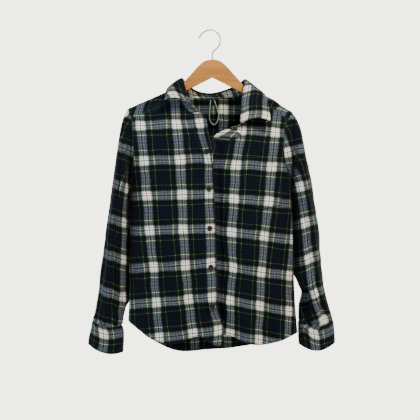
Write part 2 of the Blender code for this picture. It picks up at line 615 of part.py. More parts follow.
def sleeve(sections, loop, body):
    """A sleeve from the armhole's points to its cuff."""
    seam, out, outward = loop
    lengths = np.linalg.norm(np.roll(seam, -1, axis=0) - seam, axis=1)
    reach = np.concatenate([[0.0], np.cumsum(lengths)[:-1]])
    top = int(np.argmax(seam[:, 2]))
    angles = np.where(
        np.arange(len(seam)) <= top,
        math.pi * (1 - reach / reach[top]),
        -math.pi * (reach - reach[top]) / (lengths.sum() - reach[top]))
    rings = np.arange(2, 19)
    planar = []
    for ring in rings:
        points = ring_points(sections, ring, angles)
        centre = points.mean(axis=0)
        towards = unit(centre - points)
        pleat = PLEAT_DEPTH * ease((ring - 15.5) / 1.5) * ease((18 - ring) / 0.8)
        inward = crease_depth(ring, angles, body) + pleat * np.cos(PLEATS * angles)
        planar.append(points + towards * inward[:, None])
    start = unit(unit(planar[0] - seam) + out * 0.6 * (1 - np.abs(angles) / math.pi)[:, None])
    ring_a = seam + out * seam_shift(out, start, outward)[:, None]
    ring_b = ring_a + start * SEAM_STRIP
    return np.array([ring_a, ring_b] + planar), angles


def ring_normals(ring, next_ring):
    """Outward normals of a closed ring of points."""
    tangent = np.roll(ring, -1, axis=0) - np.roll(ring, 1, axis=0)
    outward = unit(np.cross(tangent, next_ring - ring))
    return outward * np.sign((outward * (ring - ring.mean(axis=0))).sum(-1, keepdims=True))


right_loop = armhole_loop(front_right, yoke, back, -1)
left_loop = armhole_loop(front_left, yoke, back, 1)
sleeve_right, right_angles = sleeve(SLEEVE_RIGHT, right_loop, -1)
sleeve_left, left_angles = sleeve(SLEEVE_LEFT, left_loop, 1)


def cuff(sections, sleeve_grid, sleeve_angles, body):
    """A cuff: a straight band wrapped round the wrist, its ends lapped and open at the foot.

    Its first row follows the sleeve's last one, point for point."""
    count = len(sleeve_angles)
    start = int(np.argmin(np.abs(sleeve_angles - CUFF_OPENING[body])))
    around = (start + np.arange(count + CUFF_LAP)) % count
    lap = ease((np.arange(len(around)) - count + 3) / 3.0) * (CLOTH + GAP * 3)
    rings = [sleeve_grid[-1]] + [ring_points(sections, ring, sleeve_angles)
                                 for ring in (0.5, 1.0, 2.0, 3.0)]
    into = unit(sleeve_grid[-1] - sleeve_grid[-2])
    outward = ring_normals(rings[0], rings[0] + into)
    onward = unit(rings[1] - rings[0])
    foot = rings[0] + into * seam_shift(into, onward, outward)[:, None]
    rings[0:1] = [foot, foot + onward * SEAM_STRIP]
    grid = []
    for row, points in enumerate(rings):
        away = ring_normals(points, rings[row + 1]) if row + 1 < len(rings) else away
        grid.append(points[around] + away[around] * lap[:, None])
    return np.array(grid)


# ---------------------------------------------------------------- collar
STAND_STATIONS = sorted(RIGHT_NECK) + YOKE_NECK[1:-1] + LEFT_NECK
LEAF_STATIONS = [s for s in STAND_STATIONS if 1.0 <= s <= 13.0]
LEAF_SEAM = 0.0045      # the leaf is sewn to the stand this far under the collar's roll


def collar_stand():
    """The stand, from the neckline up to just under the collar's roll."""
    seam = neck_seam(STAND_STATIONS)
    fold = neck_column("fold", STAND_STATIONS)
    inside = np.concatenate([
        front_right[:NECK_ROWS, 1][::-1], yoke[-2, len(front_right[0]):-len(front_left[0])],
        front_left[:NECK_ROWS, 1]])
    into, outward = across_seam(seam, inside)
    up = unit(fold - seam)
    foot = seam + into * seam_shift(into, up, outward)[:, None]
    head = fold - up * LEAF_SEAM
    steps = np.array([0.0, 0.1, 0.45, 0.78, 1.0])
    return np.array([foot + (head - foot) * step for step in steps])


def collar_leaf():
    """The leaf, from its seam over the roll and down to its outer edge and points."""
    seam = neck_seam(LEAF_STATIONS)
    fold = neck_column("fold", LEAF_STATIONS)
    edge = neck_column("edge", LEAF_STATIONS)
    arch = read(NECK, "station", "arch", LEAF_STATIONS)
    up = unit(fold - seam)
    away = edge - fold
    away = unit(away - (away * up).sum(-1, keepdims=True) * up)
    middle = fold + (away - up) * LEAF_ROLL
    rows = [fold - up * (LEAF_SEAM - GAP)]
    for turn in np.radians([0, 40, 80, 120, 150]):
        rows.append(middle + (up * math.sin(turn) - away * math.cos(turn)) * LEAF_ROLL)
    start = rows[-1]
    for step in (0.25, 0.5, 0.78, 1.0):
        row = start + (edge - start) * step
        bow = 4 * step * (1 - step)
        rows.append(row + np.array([0.0, 0.0, 1.0]) * (arch * bow)[:, None])
    return np.array(rows)


# ---------------------------------------------------------------- pieces laid on the fronts
ON_PANEL = CLOTH + GAP
ON_BAND = ON_PANEL + BAND + GAP


def moved_out(points, distance):
    """A grid of points on a front, moved out of the body along its normals."""
    across = np.gradient(points, axis=1)
    down = np.gradient(points, axis=0)
    outward = unit(np.cross(across, down))
    return points - outward * np.sign(outward[..., 1:2]) * distance


def on_panel(panel, x, z):
    """The point of a front panel's grid at x and z."""
    level = np.array([[np.interp(-z, -column[:, 2], column[:, axis]) for axis in range(3)]
                      for column in panel.swapaxes(0, 1)])
    level = level[np.argsort(level[:, 0])]
    return np.array([np.interp(x, level[:, 0], level[:, axis]) for axis in range(3)])


def edge_band(panel, below_neck):
    """A band along a front's inner edge, over its first three columns and near the neckline."""
    corner = NECK_ROWS - 1
    top = np.array([panel[corner, 0], panel[corner - 1, 0], panel[corner - 2, 0]])
    below = np.array([(panel[corner, 0] + panel[corner + 1, 0]) / 2, panel[corner, 1], panel[corner, 2]])
    top = top + (below - top) * below_neck
    return moved_out(np.array([top, below] + list(panel[corner + 1:, :3])), ON_PANEL)


def pocket_patch(panel):
    """The chest pocket, a five-sided patch with a folded top edge, on the panel's own columns."""
    lowest = POCKET["bottom"] - POCKET["point"]
    inside = []
    for column in panel.swapaxes(0, 1):
        x = np.interp([-POCKET["top"], -lowest], -column[:, 2], column[:, 0])
        if x.min() > POCKET["left"] + 0.003 and x.max() < POCKET["right"] - 0.003:
            inside.append(column)
    grid = []
    for step in (0.0, 0.13, 0.33, 0.56, 0.78, 1.0):
        row = []
        for column in [None] + inside + [None]:
            edge = POCKET["right"] if row else POCKET["left"]
            x = edge if column is None else np.interp(-POCKET["bottom"], -column[:, 2], column[:, 0])
            width = (x - POCKET["left"]) / (POCKET["right"] - POCKET["left"])
            foot = POCKET["bottom"] - POCKET["point"] * (1 - abs(2 * width - 1))
            z = POCKET["top"] + (foot - POCKET["top"]) * step
            row.append(on_panel(panel, x, z) if column is None else np.array(
                [np.interp(-z, -column[:, 2], column[:, axis]) for axis in range(3)]))
        grid.append(row)
    return moved_out(np.array(grid), ON_PANEL + GAP)


# ---------------------------------------------------------------- the cloth pieces
half_gap = GAP / 2
neckline_gap = np.where(np.arange(len(front_right)) < NECK_ROWS, half_gap, 0.0)

sheet("front_right", trimmed(front_right, left=neckline_gap, right=half_gap, top=half_gap), flannel)
sheet("front_left", trimmed(front_left, left=neckline_gap, right=half_gap, top=half_gap),
      flannel, flip=True)
sheet("back", trimmed(back, left=half_gap, right=half_gap, top=half_gap), flannel)
sheet("yoke", trimmed(yoke, left=half_gap, right=half_gap, bottom=half_gap, top=half_gap),
      flannel, flip=True)
sheet("sleeve_right", trimmed(sleeve_right, bottom=half_gap), flannel, tube=True)
sheet("sleeve_left", trimmed(sleeve_left, bottom=half_gap), flannel, tube=True, flip=True)
right_cuff = cuff(CUFF_RIGHT, sleeve_right, right_angles, -1)
left_cuff = cuff(CUFF_LEFT, sleeve_left, left_angles, 1)
stand = collar_stand()
sheet("cuff_right", right_cuff, flannel)
sheet("cuff_left", left_cuff, flannel, flip=True)
sheet("collar_stand", stand, flannel, flip=True)
sheet("collar_leaf", collar_leaf(), flannel)
sheet("placket_band", edge_band(front_right, 0.3), flannel_light, wall=BAND)
sheet("button_band", edge_band(front_left, 0.75), flannel_light, wall=BAND, flip=True)
sheet("chest_pocket", pocket_patch(front_left), flannel, wall=BAND, flip=True)

# ---------------------------------------------------------------- sleeve plackets
def sleeve_placket(sections, body, angle):
    """The narrow placket above a cuff's opening, laid on the back of the sleeve."""
    rings = np.array([14.9, 15.6, 16.3, 17.0, 17.6])
    half = np.array([9.0, 9.5, 11.0, 12.5, 13.5])
    grid = []
    for ring, half_width in zip(rings, half):
        turn = math.radians(angle) + np.radians(half_width) * np.array([-1.0, -0.4, 0.4, 1.0])
        points = ring_points(sections, ring, turn)
        centre = ring_points(sections, ring, np.linspace(0, 2 * math.pi, 13)[:-1]).mean(axis=0)
        away = unit(points - centre)
        inward = crease_depth(ring, turn, body)
        inward = inward + PLEAT_DEPTH * ease((ring - 15.5) / 1.5) * np.cos(PLEATS * turn)
        grid.append(points + away * (ON_PANEL + 0.0012 - inward)[:, None])
    return np.array(grid)


sheet("sleeve_placket_right", sleeve_placket(SLEEVE_RIGHT, -1, -118), flannel_light,
      wall=BAND, flip=True)
sheet("sleeve_placket_left", sleeve_placket(SLEEVE_LEFT, 1, -122), flannel_light, wall=BAND)

# ---------------------------------------------------------------- buttons
BUTTON_PROFILE = table(
    "radius height",
    (0.00, 0.62), (0.58, 0.62), (0.76, 1.00), (0.96, 0.92), (1.00, 0.30), (0.86, 0.00), (0.00, 0.00),
)


def button(name, at, facing, radius=BUTTON_RADIUS):
    """A turned four-hole button, its back at the given point."""
    mesh = bpy.data.meshes.new(name)
    profile = [(radius * r, 0.0, BUTTON_HEIGHT * h)
               for r, h in zip(BUTTON_PROFILE["radius"], BUTTON_PROFILE["height"])]
    edges = [(i, i + 1) for i in range(len(profile) - 1)]
    mesh.from_pydata(profile, edges, [])
    made = add_object(name, mesh, horn)
    screw = made.modifiers.new("turn", "SCREW")
    screw.steps = 12
    screw.render_steps = 12
    screw.use_merge_vertices = True
    screw.merge_threshold = 0.00001
    made.location = Vector(at)
    made.rotation_euler = Vector(facing).to_track_quat("Z", "Y").to_euler()
    return made


def front_button(name, x, z):
    """A button on the placket, square to the cloth under it."""
    step = 0.004
    patch = np.array([[on_panel(front_right, x + step * a, z - step * b) for a in (-1, 0, 1)]
                      for b in (-1, 0, 1)])
    foot = patch[1, 1]
    facing = unit(moved_out(patch, 0.01)[1, 1] - foot)
    button(name, foot + facing * (ON_BAND + 0.0003), facing)


FRONT_BUTTONS = table(
    "x z",
    (-0.0080, -0.3093), (-0.0048, -0.4018), (-0.0033, -0.4990), (-0.0005, -0.5950),
    (0.0022, -0.6900),
)
for number, (x, z) in enumerate(zip(FRONT_BUTTONS["x"], FRONT_BUTTONS["z"]), start=1):
    front_button(f"button_{number}", x, z)


def stand_button():
    """The collar button, on the outside of the stand's left end."""
    station = -3
    spot = stand[2, station]
    facing = unit(np.cross(stand[3, station] - stand[1, station],
                           stand[2, station + 1] - stand[2, station - 1]))
    button("button_collar", spot + facing * (CLOTH + 2 * GAP), facing, 0.0052)


stand_button()
for side_name, grid, body in (("right", right_cuff, -1), ("left", left_cuff, 1)):
    for number, row in enumerate((3, 4), start=1):
        spot = grid[row, -2]
        along = grid[row, -1] - grid[row, -3]
        facing = -body * unit(np.cross(along, grid[row + 1, -2] - grid[row - 1, -2]))
        button(f"button_cuff_{side_name}_{number}", spot + facing * (CLOTH + 2 * GAP), facing, 0.0052)

# ---------------------------------------------------------------- hanging loop at the back neck
LOOP = table(
    "x z off",
    (-0.0010, -0.1800, 0.0020), (-0.0028, -0.1985, 0.0034), (-0.0043, -0.2185, 0.0036),
    (-0.0015, -0.2320, 0.0036), (0.0065, -0.2400, 0.0036), (0.0150, -0.2345, 0.0036),
    (0.0193, -0.2185, 0.0036), (0.0160, -0.2025, 0.0034), (0.0085, -0.1800, 0.0020),
)


def tube(name, points, radius, look, resolution, corners=2):
    """A round cord or wire along a smooth curve through the given points."""
    steps = np.arange(len(points))
    fine = np.linspace(0, len(points) - 1, (len(points) - 1) * corners + 1)
    columns = {"step": steps, "x": points[:, 0], "y": points[:, 1], "z": points[:, 2]}
    path = np.stack([read(columns, "step", axis, fine) for axis in "xyz"], axis=-1)
    curve = bpy.data.curves.new(name, "CURVE")
    curve.dimensions = "3D"
    curve.bevel_depth = radius
    curve.bevel_resolution = resolution
    curve.use_fill_caps = True
    spline = curve.splines.new("POLY")
    spline.points.add(len(path) - 1)
    for point, place in zip(spline.points, path):
        point.co = (*place, 1.0)
    return add_object(name, curve, look)


loop_points = body_point(LOOP["x"], LOOP["z"], 1)
loop_points[:, 1] -= LOOP["off"]
tube("hang_loop", loop_points, LOOP_RADIUS, cord_white, 2, corners=4)

# ---------------------------------------------------------------- the hanger
# Half of the wooden hanger's outline, from its middle out to the arm's end.
HANGER = table(
    "run top bottom",
    (0.000, -0.0733, -0.1185), (0.012, -0.0748, -0.1246), (0.022, -0.0788, -0.1297),
    (0.030, -0.0850, -0.1338), (0.050, -0.1062, -0.1440), (0.0695, -0.1280, -0.1539),
    (0.078, -0.1385, -0.1582), (0.090, -0.1478, -0.1655), (0.120, -0.1618, -0.1810),
    (0.145, -0.1755, -0.1935), (0.165, -0.1880, -0.2025), (0.175, -0.1955, -0.2060),
    (0.180, -0.2005, -0.2045),
)
HOOK_DROP = 0.0262      # from the crook's top to the middle of its bend
HOOK_TIP_RUN = 0.0300   # reach of the crook to its tip's side
HOOK_BACK_RUN = 0.0233  # reach of the crook to its closed side


def hanger_wood():
    """Both arms as one flat board with softened edges."""
    runs = np.concatenate([-HANGER["run"][::-1], HANGER["run"][1:]])
    tops = np.concatenate([HANGER["top"][::-1], HANGER["top"][1:]])
    bottoms = np.concatenate([HANGER["bottom"][::-1], HANGER["bottom"][1:]])
    grid = []
    for step in (0.0, 0.5, 1.0):
        z = bottoms + (tops - bottoms) * step
        grid.append(np.stack([HANGER_X + runs, np.zeros(len(runs)), z], axis=-1))
    made = sheet("hanger_wood", np.array(grid), wood, wall=WOOD_THICKNESS)
    made.modifiers["wall"].offset = 0.0
    bevel = made.modifiers.new("softened", "BEVEL")
    bevel.width = 0.0035
    bevel.segments = 2
    bevel.limit_method = "ANGLE"
    bevel.angle_limit = math.radians(50)


def hanger_hook():
    """The wire crook and its stem, down to the wood."""
    path = []
    for angle in np.radians([168, 150, 132, 112, 90, 68, 45, 22, 0, -22, -42]):
        run = HOOK_TIP_RUN if angle > math.pi / 2 else HOOK_BACK_RUN
        path.append((run * math.cos(angle), 0.0,
                     WIRE_RADIUS - HOOK_DROP * (1 - math.sin(angle))))
    stem_x = HANGER_X
    path += [(0.0095, 0.0, -0.0492), (0.0048, 0.0, -0.0545), (stem_x, 0.0, -0.0610),
             (stem_x, 0.0, HANGER["top"][0] + GAP + 0.0001)]
    tube("hanger_hook", np.array(path), WIRE_RADIUS, steel, 2, corners=2)


hanger_wood()
hanger_hook()
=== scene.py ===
"""A plaid flannel shirt on a wooden hanger, dressed piece by piece over its solids."""

import math

import bmesh
import bpy
import numpy as np
from mathutils import Matrix, Vector, noise


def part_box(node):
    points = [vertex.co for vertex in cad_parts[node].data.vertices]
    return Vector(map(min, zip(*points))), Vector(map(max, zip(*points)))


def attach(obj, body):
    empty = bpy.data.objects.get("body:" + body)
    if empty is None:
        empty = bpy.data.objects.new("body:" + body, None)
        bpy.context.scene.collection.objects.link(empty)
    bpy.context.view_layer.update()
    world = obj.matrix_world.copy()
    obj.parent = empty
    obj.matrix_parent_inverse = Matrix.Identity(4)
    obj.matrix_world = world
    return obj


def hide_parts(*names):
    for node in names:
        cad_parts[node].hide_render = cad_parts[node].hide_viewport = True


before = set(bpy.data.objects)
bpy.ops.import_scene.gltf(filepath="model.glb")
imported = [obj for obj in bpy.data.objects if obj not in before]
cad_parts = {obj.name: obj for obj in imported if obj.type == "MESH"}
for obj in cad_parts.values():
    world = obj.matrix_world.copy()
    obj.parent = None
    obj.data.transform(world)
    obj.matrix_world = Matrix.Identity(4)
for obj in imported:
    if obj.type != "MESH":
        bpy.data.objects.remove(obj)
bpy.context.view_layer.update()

# ---------------------------------------------------------------- the studio
# A long lens straight on, a plain pale floor far below the hem, a room with pale walls and a
# dim ceiling, a soft lamp from the upper right in front and a weaker, bluer one at the left.
camera = bpy.data.objects.new("camera", bpy.data.cameras.new("camera"))
camera.data.lens = 100.0
camera.location = (-0.0025, -2.950, -0.4535)
camera.rotation_euler = (math.radians(90), 0.0, 0.0)
bpy.context.scene.collection.objects.link(camera)
bpy.context.scene.camera = camera

# The room's light by how high a way points, 0 down to 1 up, and weaker behind the camera.
room = bpy.data.worlds.new("room")
room.use_nodes = True
tree = room.node_tree
sky = tree.nodes.new("ShaderNodeTexCoord")
split = tree.nodes.new("ShaderNodeSeparateXYZ")
height = tree.nodes.new("ShaderNodeMath")
height.operation = "MULTIPLY_ADD"
height.inputs[1].default_value = 0.5
height.inputs[2].default_value = 0.5
fade = tree.nodes.new("ShaderNodeValToRGB")
fade.color_ramp.elements[0].position = 0.20
fade.color_ramp.elements[0].color = (0.16, 0.16, 0.15, 1.0)
fade.color_ramp.elements[1].position = 0.655
fade.color_ramp.elements[1].color = (0.035, 0.036, 0.040, 1.0)
for place, shade in ((0.30, 0.42), (0.405, 1.0), (0.595, 1.0)):
    fade.color_ramp.elements.new(place).color = (shade, shade, shade * 0.88, 1.0)
tree.links.new(sky.outputs["Generated"], split.inputs[0])
tree.links.new(split.outputs[2], height.inputs[0])
tree.links.new(height.outputs[0], fade.inputs[0])
behind = tree.nodes.new("ShaderNodeMapRange")
behind.interpolation_type = "SMOOTHSTEP"
behind.inputs["From Min"].default_value = -0.75
behind.inputs["From Max"].default_value = 0.70
behind.inputs["To Min"].default_value = 0.42
glow = tree.nodes.new("ShaderNodeVectorMath")
glow.operation = "SCALE"
tree.links.new(split.outputs[1], behind.inputs["Value"])
tree.links.new(fade.outputs[0], glow.inputs[0])
tree.links.new(behind.outputs[0], glow.inputs["Scale"])
tree.links.new(glow.outputs[0], tree.nodes["Background"].inputs["Color"])
tree.nodes["Background"].inputs["Strength"].default_value = 4.3
bpy.context.scene.world = room


def lamp(name, place, aim, width, watts, tint):
    """A square soft lamp."""
    light = bpy.data.lights.new(name, "AREA")
    light.size = width
    light.energy = watts
    light.color = tint
    made = bpy.data.objects.new(name, light)
    made.location = place
    made.rotation_euler = (Vector(aim) - Vector(place)).to_track_quat("-Z", "Y").to_euler()
    bpy.context.scene.collection.objects.link(made)


lamp("key_lamp", (0.9, -1.9, 2.0), (0.0, 0.0, -0.45), 0.6, 250.0, (1.0, 0.965, 0.90))
lamp("side_lamp", (-2.3, -1.0, 0.2), (0.0, 0.0, -0.45), 1.2, 60.0, (0.38, 0.64, 1.0))

floor_mesh = bpy.data.meshes.new("floor")
bm = bmesh.new()
bmesh.ops.create_circle(bm, cap_ends=True, segments=96, radius=3.2)
bmesh.ops.translate(bm, verts=bm.verts, vec=(0.0, 0.0, -1.75))
bm.to_mesh(floor_mesh)
bm.free()
floor_paint = bpy.data.materials.new("floor_paint")
floor_paint.use_nodes = True
floor_paint.node_tree.nodes["Principled BSDF"].inputs["Base Color"].default_value = (0.80, 0.79, 0.74, 1.0)
floor_paint.node_tree.nodes["Principled BSDF"].inputs["Roughness"].default_value = 0.9
floor_mesh.materials.append(floor_paint)
floor = bpy.data.objects.new("floor", floor_mesh)
bpy.context.scene.collection.objects.link(floor)


# ---------------------------------------------------------------- the hook
# Bright drawn steel wire, bent into a crook and screwed down into the hanger's top.
class Strand:
    """A value in a material: sums and products of it add Math nodes, node() adds any other."""

    def __init__(self, tree, socket=None):
        self.tree = tree
        self.socket = socket

    def node(self, kind, settings=(), values=(), out=0):
        """A node with its settings and inputs; stops are a colour ramp's places and colours."""
        made = self.tree.nodes.new("ShaderNode" + kind)
        for name, value in dict(settings).items():
            if name != "stops":
                setattr(made, name, value)
                continue
            stops = made.color_ramp.elements
            for place, _ in value[1:-1]:
                stops.new(place)
            for stop, (place, colour) in zip(stops, value):
                stop.position = place
                stop.color = (*colour, 1.0)
        for name, value in dict(values).items():
            if isinstance(value, Strand):
                self.tree.links.new(value.socket, made.inputs[name])
            else:
                made.inputs[name].default_value = value
        return Strand(self.tree, made.outputs[out])

    def math(self, operation, *values):
        """A Math node of that operation on the values."""
        return self.node("Math", {"operation": operation}, dict(enumerate(values)))

    def __add__(self, other):
        return self.math("ADD", self, other)

    __radd__ = __add__

    def __sub__(self, other):
        return self.math("SUBTRACT", self, other)

    def __rsub__(self, other):
        return self.math("SUBTRACT", other, self)

    def __mul__(self, other):
        return self.math("MULTIPLY", self, other)

    __rmul__ = __mul__

    def rise(self, low, high):
        """0 up to low, 1 from high on, smooth between."""
        return self.node("MapRange", {"interpolation_type": "SMOOTHSTEP"},
                         {"Value": self, "From Min": low, "From Max": high})

    def mix(self, first, second):
        """Two colours, mixed by this value."""
        return self.node("Mix", {"data_type": "RGBA"}, {0: self, 6: first, 7: second}, out=2)

    def grain(self, scale, detail=2.0, roughness=0.5):
        """Noise read at this place, from 0 to 1."""
        return self.node("TexNoise", {}, {"Vector": self, "Scale": scale, "Detail": detail,
                                          "Roughness": roughness})

    def place(self):
        """Where a point lies on its piece."""
        return self.node("TexCoord", out=3)

    def stretched(self, *scale):
        """This place with each axis scaled."""
        return self.node("Mapping", {}, {"Vector": self, "Scale": scale})


def finish(name, **constants):
    """A new material with its constant values set, its shader and a first strand."""
    made = bpy.data.materials.new(name)
    made.use_nodes = True
    shader = made.node_tree.nodes["Principled BSDF"]
    for key, value in constants.items():
        shader.inputs[key.replace("_", " ")].default_value = value
    return made, shader, Strand(made.node_tree)


def dress(shader, bump=None, depth=0.001, **strands):
    """Links what varies over a surface to the shader, and a height to its normals."""
    for key, strand in strands.items():
        strand.tree.links.new(strand.socket, shader.inputs[key.replace("_", " ")])
    if bump is not None:
        normal = bump.node("Bump", {}, {"Height": bump, "Distance": depth, "Strength": 1.0})
        bump.tree.links.new(normal.socket, shader.inputs["Normal"])


wire_look, shader, strand = finish("bright_wire", Base_Color=(0.20, 0.20, 0.205, 1.0), Metallic=1.0)
place = strand.place()
drawn = place.stretched(1.0, 1.0, 0.12).grain(900.0)
dress(shader, Roughness=0.2 + drawn * 0.22, bump=drawn, depth=0.00005)


def table(columns, *rows):
    """Rows of numbers as one array for each named column."""
    return dict(zip(columns.split(), np.array(rows, float).T))


def bend(t, first, last, leaving, arriving):
    """A smooth curve from first to last with these slopes, at t from 0 to 1."""
    return ((1 + 2 * t) * (1 - t) ** 2 * first + t * (1 - t) ** 2 * leaving
            + t * t * (3 - 2 * t) * last + t * t * (t - 1) * arriving)


def read(rows, key, name, at):
    """A smooth curve through one column of a table, read at values of its key column."""
    order = np.argsort(rows[key])
    x = rows[key][order]
    y = rows[name][order]
    at = np.clip(np.asarray(at, float), x[0], x[-1])
    slope = np.gradient(y, x)
    i = np.clip(np.searchsorted(x, at, side="right") - 1, 0, len(x) - 2)
    step = x[i + 1] - x[i]
    t = (at - x[i]) / step
    return bend(t, y[i], y[i + 1], step * slope[i], step * slope[i + 1])


def curve_through(points, count):
    """Points, or rows of points, made count times finer on smooth curves from one to the next."""
    last = len(points) - 1
    at = np.linspace(0, last, last * count + 1)
    slope = np.gradient(points, axis=0)
    i = np.clip(at.astype(int), 0, last - 1)
    t = (at - i).reshape(-1, *[1] * (points.ndim - 1))
    return bend(t, points[i], points[i + 1], slope[i], slope[i + 1])


def add_piece(name, mesh, look, slot, *nodes):
    """A piece riding on the one body, in place of the nodes that it names."""
    made = bpy.data.objects.new(name, mesh)
    bpy.context.scene.collection.objects.link(made)
    mesh.materials.append(look)
    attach(made, "root")
    if nodes:
        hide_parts(*nodes)
    return made


def round_cord(name, path, radius, look, slot, sides=6):
    """A round wire or cord along a path, in place of the node of that name."""
    curve = bpy.data.curves.new(name, "CURVE")
    curve.dimensions = "3D"
    curve.bevel_depth = radius
    curve.bevel_resolution = sides
    curve.use_fill_caps = True
    spline = curve.splines.new("POLY")
    spline.points.add(len(path) - 1)
    for point, spot in zip(spline.points, path):
        point.co = (*spot, 1.0)
    return add_piece("dressed_" + name, curve, look, slot, name)


WIRE_RADIUS = 0.0017
HANGER_X = 0.0035       # the hanger's middle
CROOK_HEIGHT = 0.0262
CROOK_TIP, CROOK_BACK = 0.0300, 0.0233      # how far the crook reaches to either side
crook = [((CROOK_TIP if turn > 90 else CROOK_BACK) * math.cos(math.radians(turn)), 0.0,
          WIRE_RADIUS - CROOK_HEIGHT * (1 - math.sin(math.radians(turn))))
         for turn in (168, 150, 132, 112, 90, 68, 45, 22, 0, -22, -42)]
crook += [(0.0095, 0.0, -0.0492), (0.0048, 0.0, -0.0545), (HANGER_X, 0.0, -0.0610),
          (HANGER_X, 0.0, -0.0729)]
round_cord("hanger_hook", curve_through(np.array(crook), 5), WIRE_RADIUS, wire_look, "hook_steel")

# ---------------------------------------------------------------- the hanger's board
# One flat board of beech with both arms cut from it, its edges rounded over, stained a warm
# orange tan and varnished.

# Its outline: how high its edges lie at a run from the middle.
HANGER = table(
    "run top bottom",
    (0.000, -0.0733, -0.1185), (0.012, -0.0748, -0.1246), (0.022, -0.0788, -0.1297),
    (0.030, -0.0850, -0.1338), (0.050, -0.1062, -0.1440), (0.0695, -0.1280, -0.1539),
    (0.078, -0.1385, -0.1582), (0.090, -0.1478, -0.1655), (0.120, -0.1618, -0.1810),
    (0.145, -0.1755, -0.1935), (0.165, -0.1880, -0.2025), (0.175, -0.1955, -0.2060),
    (0.180, -0.2005, -0.2045),
)
beech, shader, strand = finish("varnished_beech", Specular_IOR_Level=0.15)
place = strand.place()
rings = place.stretched(5.0, 40.0, 60.0).grain(1.6, 6.0, 0.62)
pores = place.stretched(40.0, 700.0, 700.0).grain(1.0, 3.0, 0.7)
stain = rings.rise(0.35, 0.68).mix((0.225, 0.088, 0.0165, 1.0), (0.315, 0.130, 0.0260, 1.0))
stain = (pores.rise(0.60, 0.72) * 0.45).mix(stain, (0.110, 0.030, 0.003, 1.0))
dress(shader, Base_Color=stain, Roughness=0.34 + rings * 0.14, bump=rings * 0.5 - pores.rise(0.55, 0.7),
      depth=0.00008)


def smooth_mesh(bm, name):
    """A mesh with smooth faces, taken from a bmesh that isn't needed any more."""
    mesh = bpy.data.meshes.new(name)
    bm.to_mesh(mesh)
    bm.free()
    mesh.shade_smooth()
    return mesh


def hanger_board():
    """Both arms in one board, from a grid across its outline."""
    runs = np.unique(np.concatenate([np.linspace(0, HANGER["run"][-1], 91), HANGER["run"]]))
    runs = np.concatenate([-runs[::-1], runs[1:]])
    top = read(HANGER, "run", "top", abs(runs))
    bottom = read(HANGER, "run", "bottom", abs(runs))
    bm = bmesh.new()
    bmesh.ops.create_grid(bm, x_segments=len(runs) - 1, y_segments=6, size=1.0)
    for vert in bm.verts:
        at = round((vert.co.x + 1) / 2 * (len(runs) - 1))
        share = (vert.co.y + 1) / 2
        vert.co = (HANGER_X + runs[at], 0.0, bottom[at] + (top[at] - bottom[at]) * share)
    mesh = smooth_mesh(bm, "board")
    made = add_piece("dressed_hanger_wood", mesh, beech, "hanger_wood", "hanger_wood")
    wall = made.modifiers.new("thickness", "SOLIDIFY")
    wall.thickness = 0.011
    wall.offset = 0.0
    rounding = made.modifiers.new("rounded", "BEVEL")
    rounding.width = 0.0038
    rounding.segments = 5
    rounding.limit_method = "ANGLE"
    rounding.angle_limit = math.radians(50)


hanger_board()


# ---------------------------------------------------------------- the shirt's flannel
# Brushed cotton, woven from dyed yarn in a 2/2 twill: the same stripes run down and across,
# white, black, dark green with a thin yellow-green line, and navy.
REPEAT = 0.0885         # length of one repeat of the plaid
TWILL = 0.0017          # from one rib of the twill to the next
STITCH = 0.0031         # from one stitch to the next
WAVER = 0.022           # how far a stripe's edge wavers, in repeats
BOW = (0.085, -0.085)   # how far stripes down and across the cloth bow, in repeats
SQUARINGS = 3           # colours are mixed as eighth roots, so that dark yarns outweigh pale ones
CLOTH = 0.0016          # thickness of the flannel's wall
BAND = 0.0012           # thickness of what is sewn on it
GAP = 0.0003            # between pieces that lie on each other
# Half a repeat, from the middle of one white stripe to the middle of the next dark one: where
# each colour begins and ends. They run into each other between.
STRIPES = (
    (0.000, 0.009, (0.024, 0.026, 0.030)),      # a dark line down the white stripe's middle
    (0.022, 0.022, (0.72, 0.66, 0.54)),         # white
    (0.058, 0.058, (0.74, 0.68, 0.55)),
    (0.066, 0.075, (0.09, 0.085, 0.080)),       # a grey line
    (0.083, 0.083, (0.70, 0.64, 0.53)),         # white
    (0.104, 0.104, (0.62, 0.57, 0.48)),
    (0.113, 0.113, (0.050, 0.050, 0.052)),      # dark and light grey lines along its edge
    (0.124, 0.124, (0.22, 0.21, 0.19)),
    (0.138, 0.138, (0.050, 0.052, 0.058)),
    (0.154, 0.195, (0.0004, 0.0006, 0.0010)),   # black
    (0.206, 0.276, (0.0008, 0.0021, 0.0019)),   # dark green
    (0.282, 0.292, (0.13, 0.23, 0.065)),        # the yellow-green line
    (0.298, 0.298, (0.0008, 0.0021, 0.0019)),   # dark green
    (0.338, 0.338, (0.0007, 0.0017, 0.0019)),
    (0.348, 0.348, (0.0002, 0.0003, 0.0005)),   # black
    (0.364, 0.392, (0.0011, 0.0021, 0.0062)),   # navy
    (0.402, 0.414, (0.0002, 0.0003, 0.0006)),   # black
    (0.424, 0.474, (0.0013, 0.0024, 0.0072)),   # navy
    (0.484, 0.500, (0.0003, 0.0005, 0.0011)),   # black
)


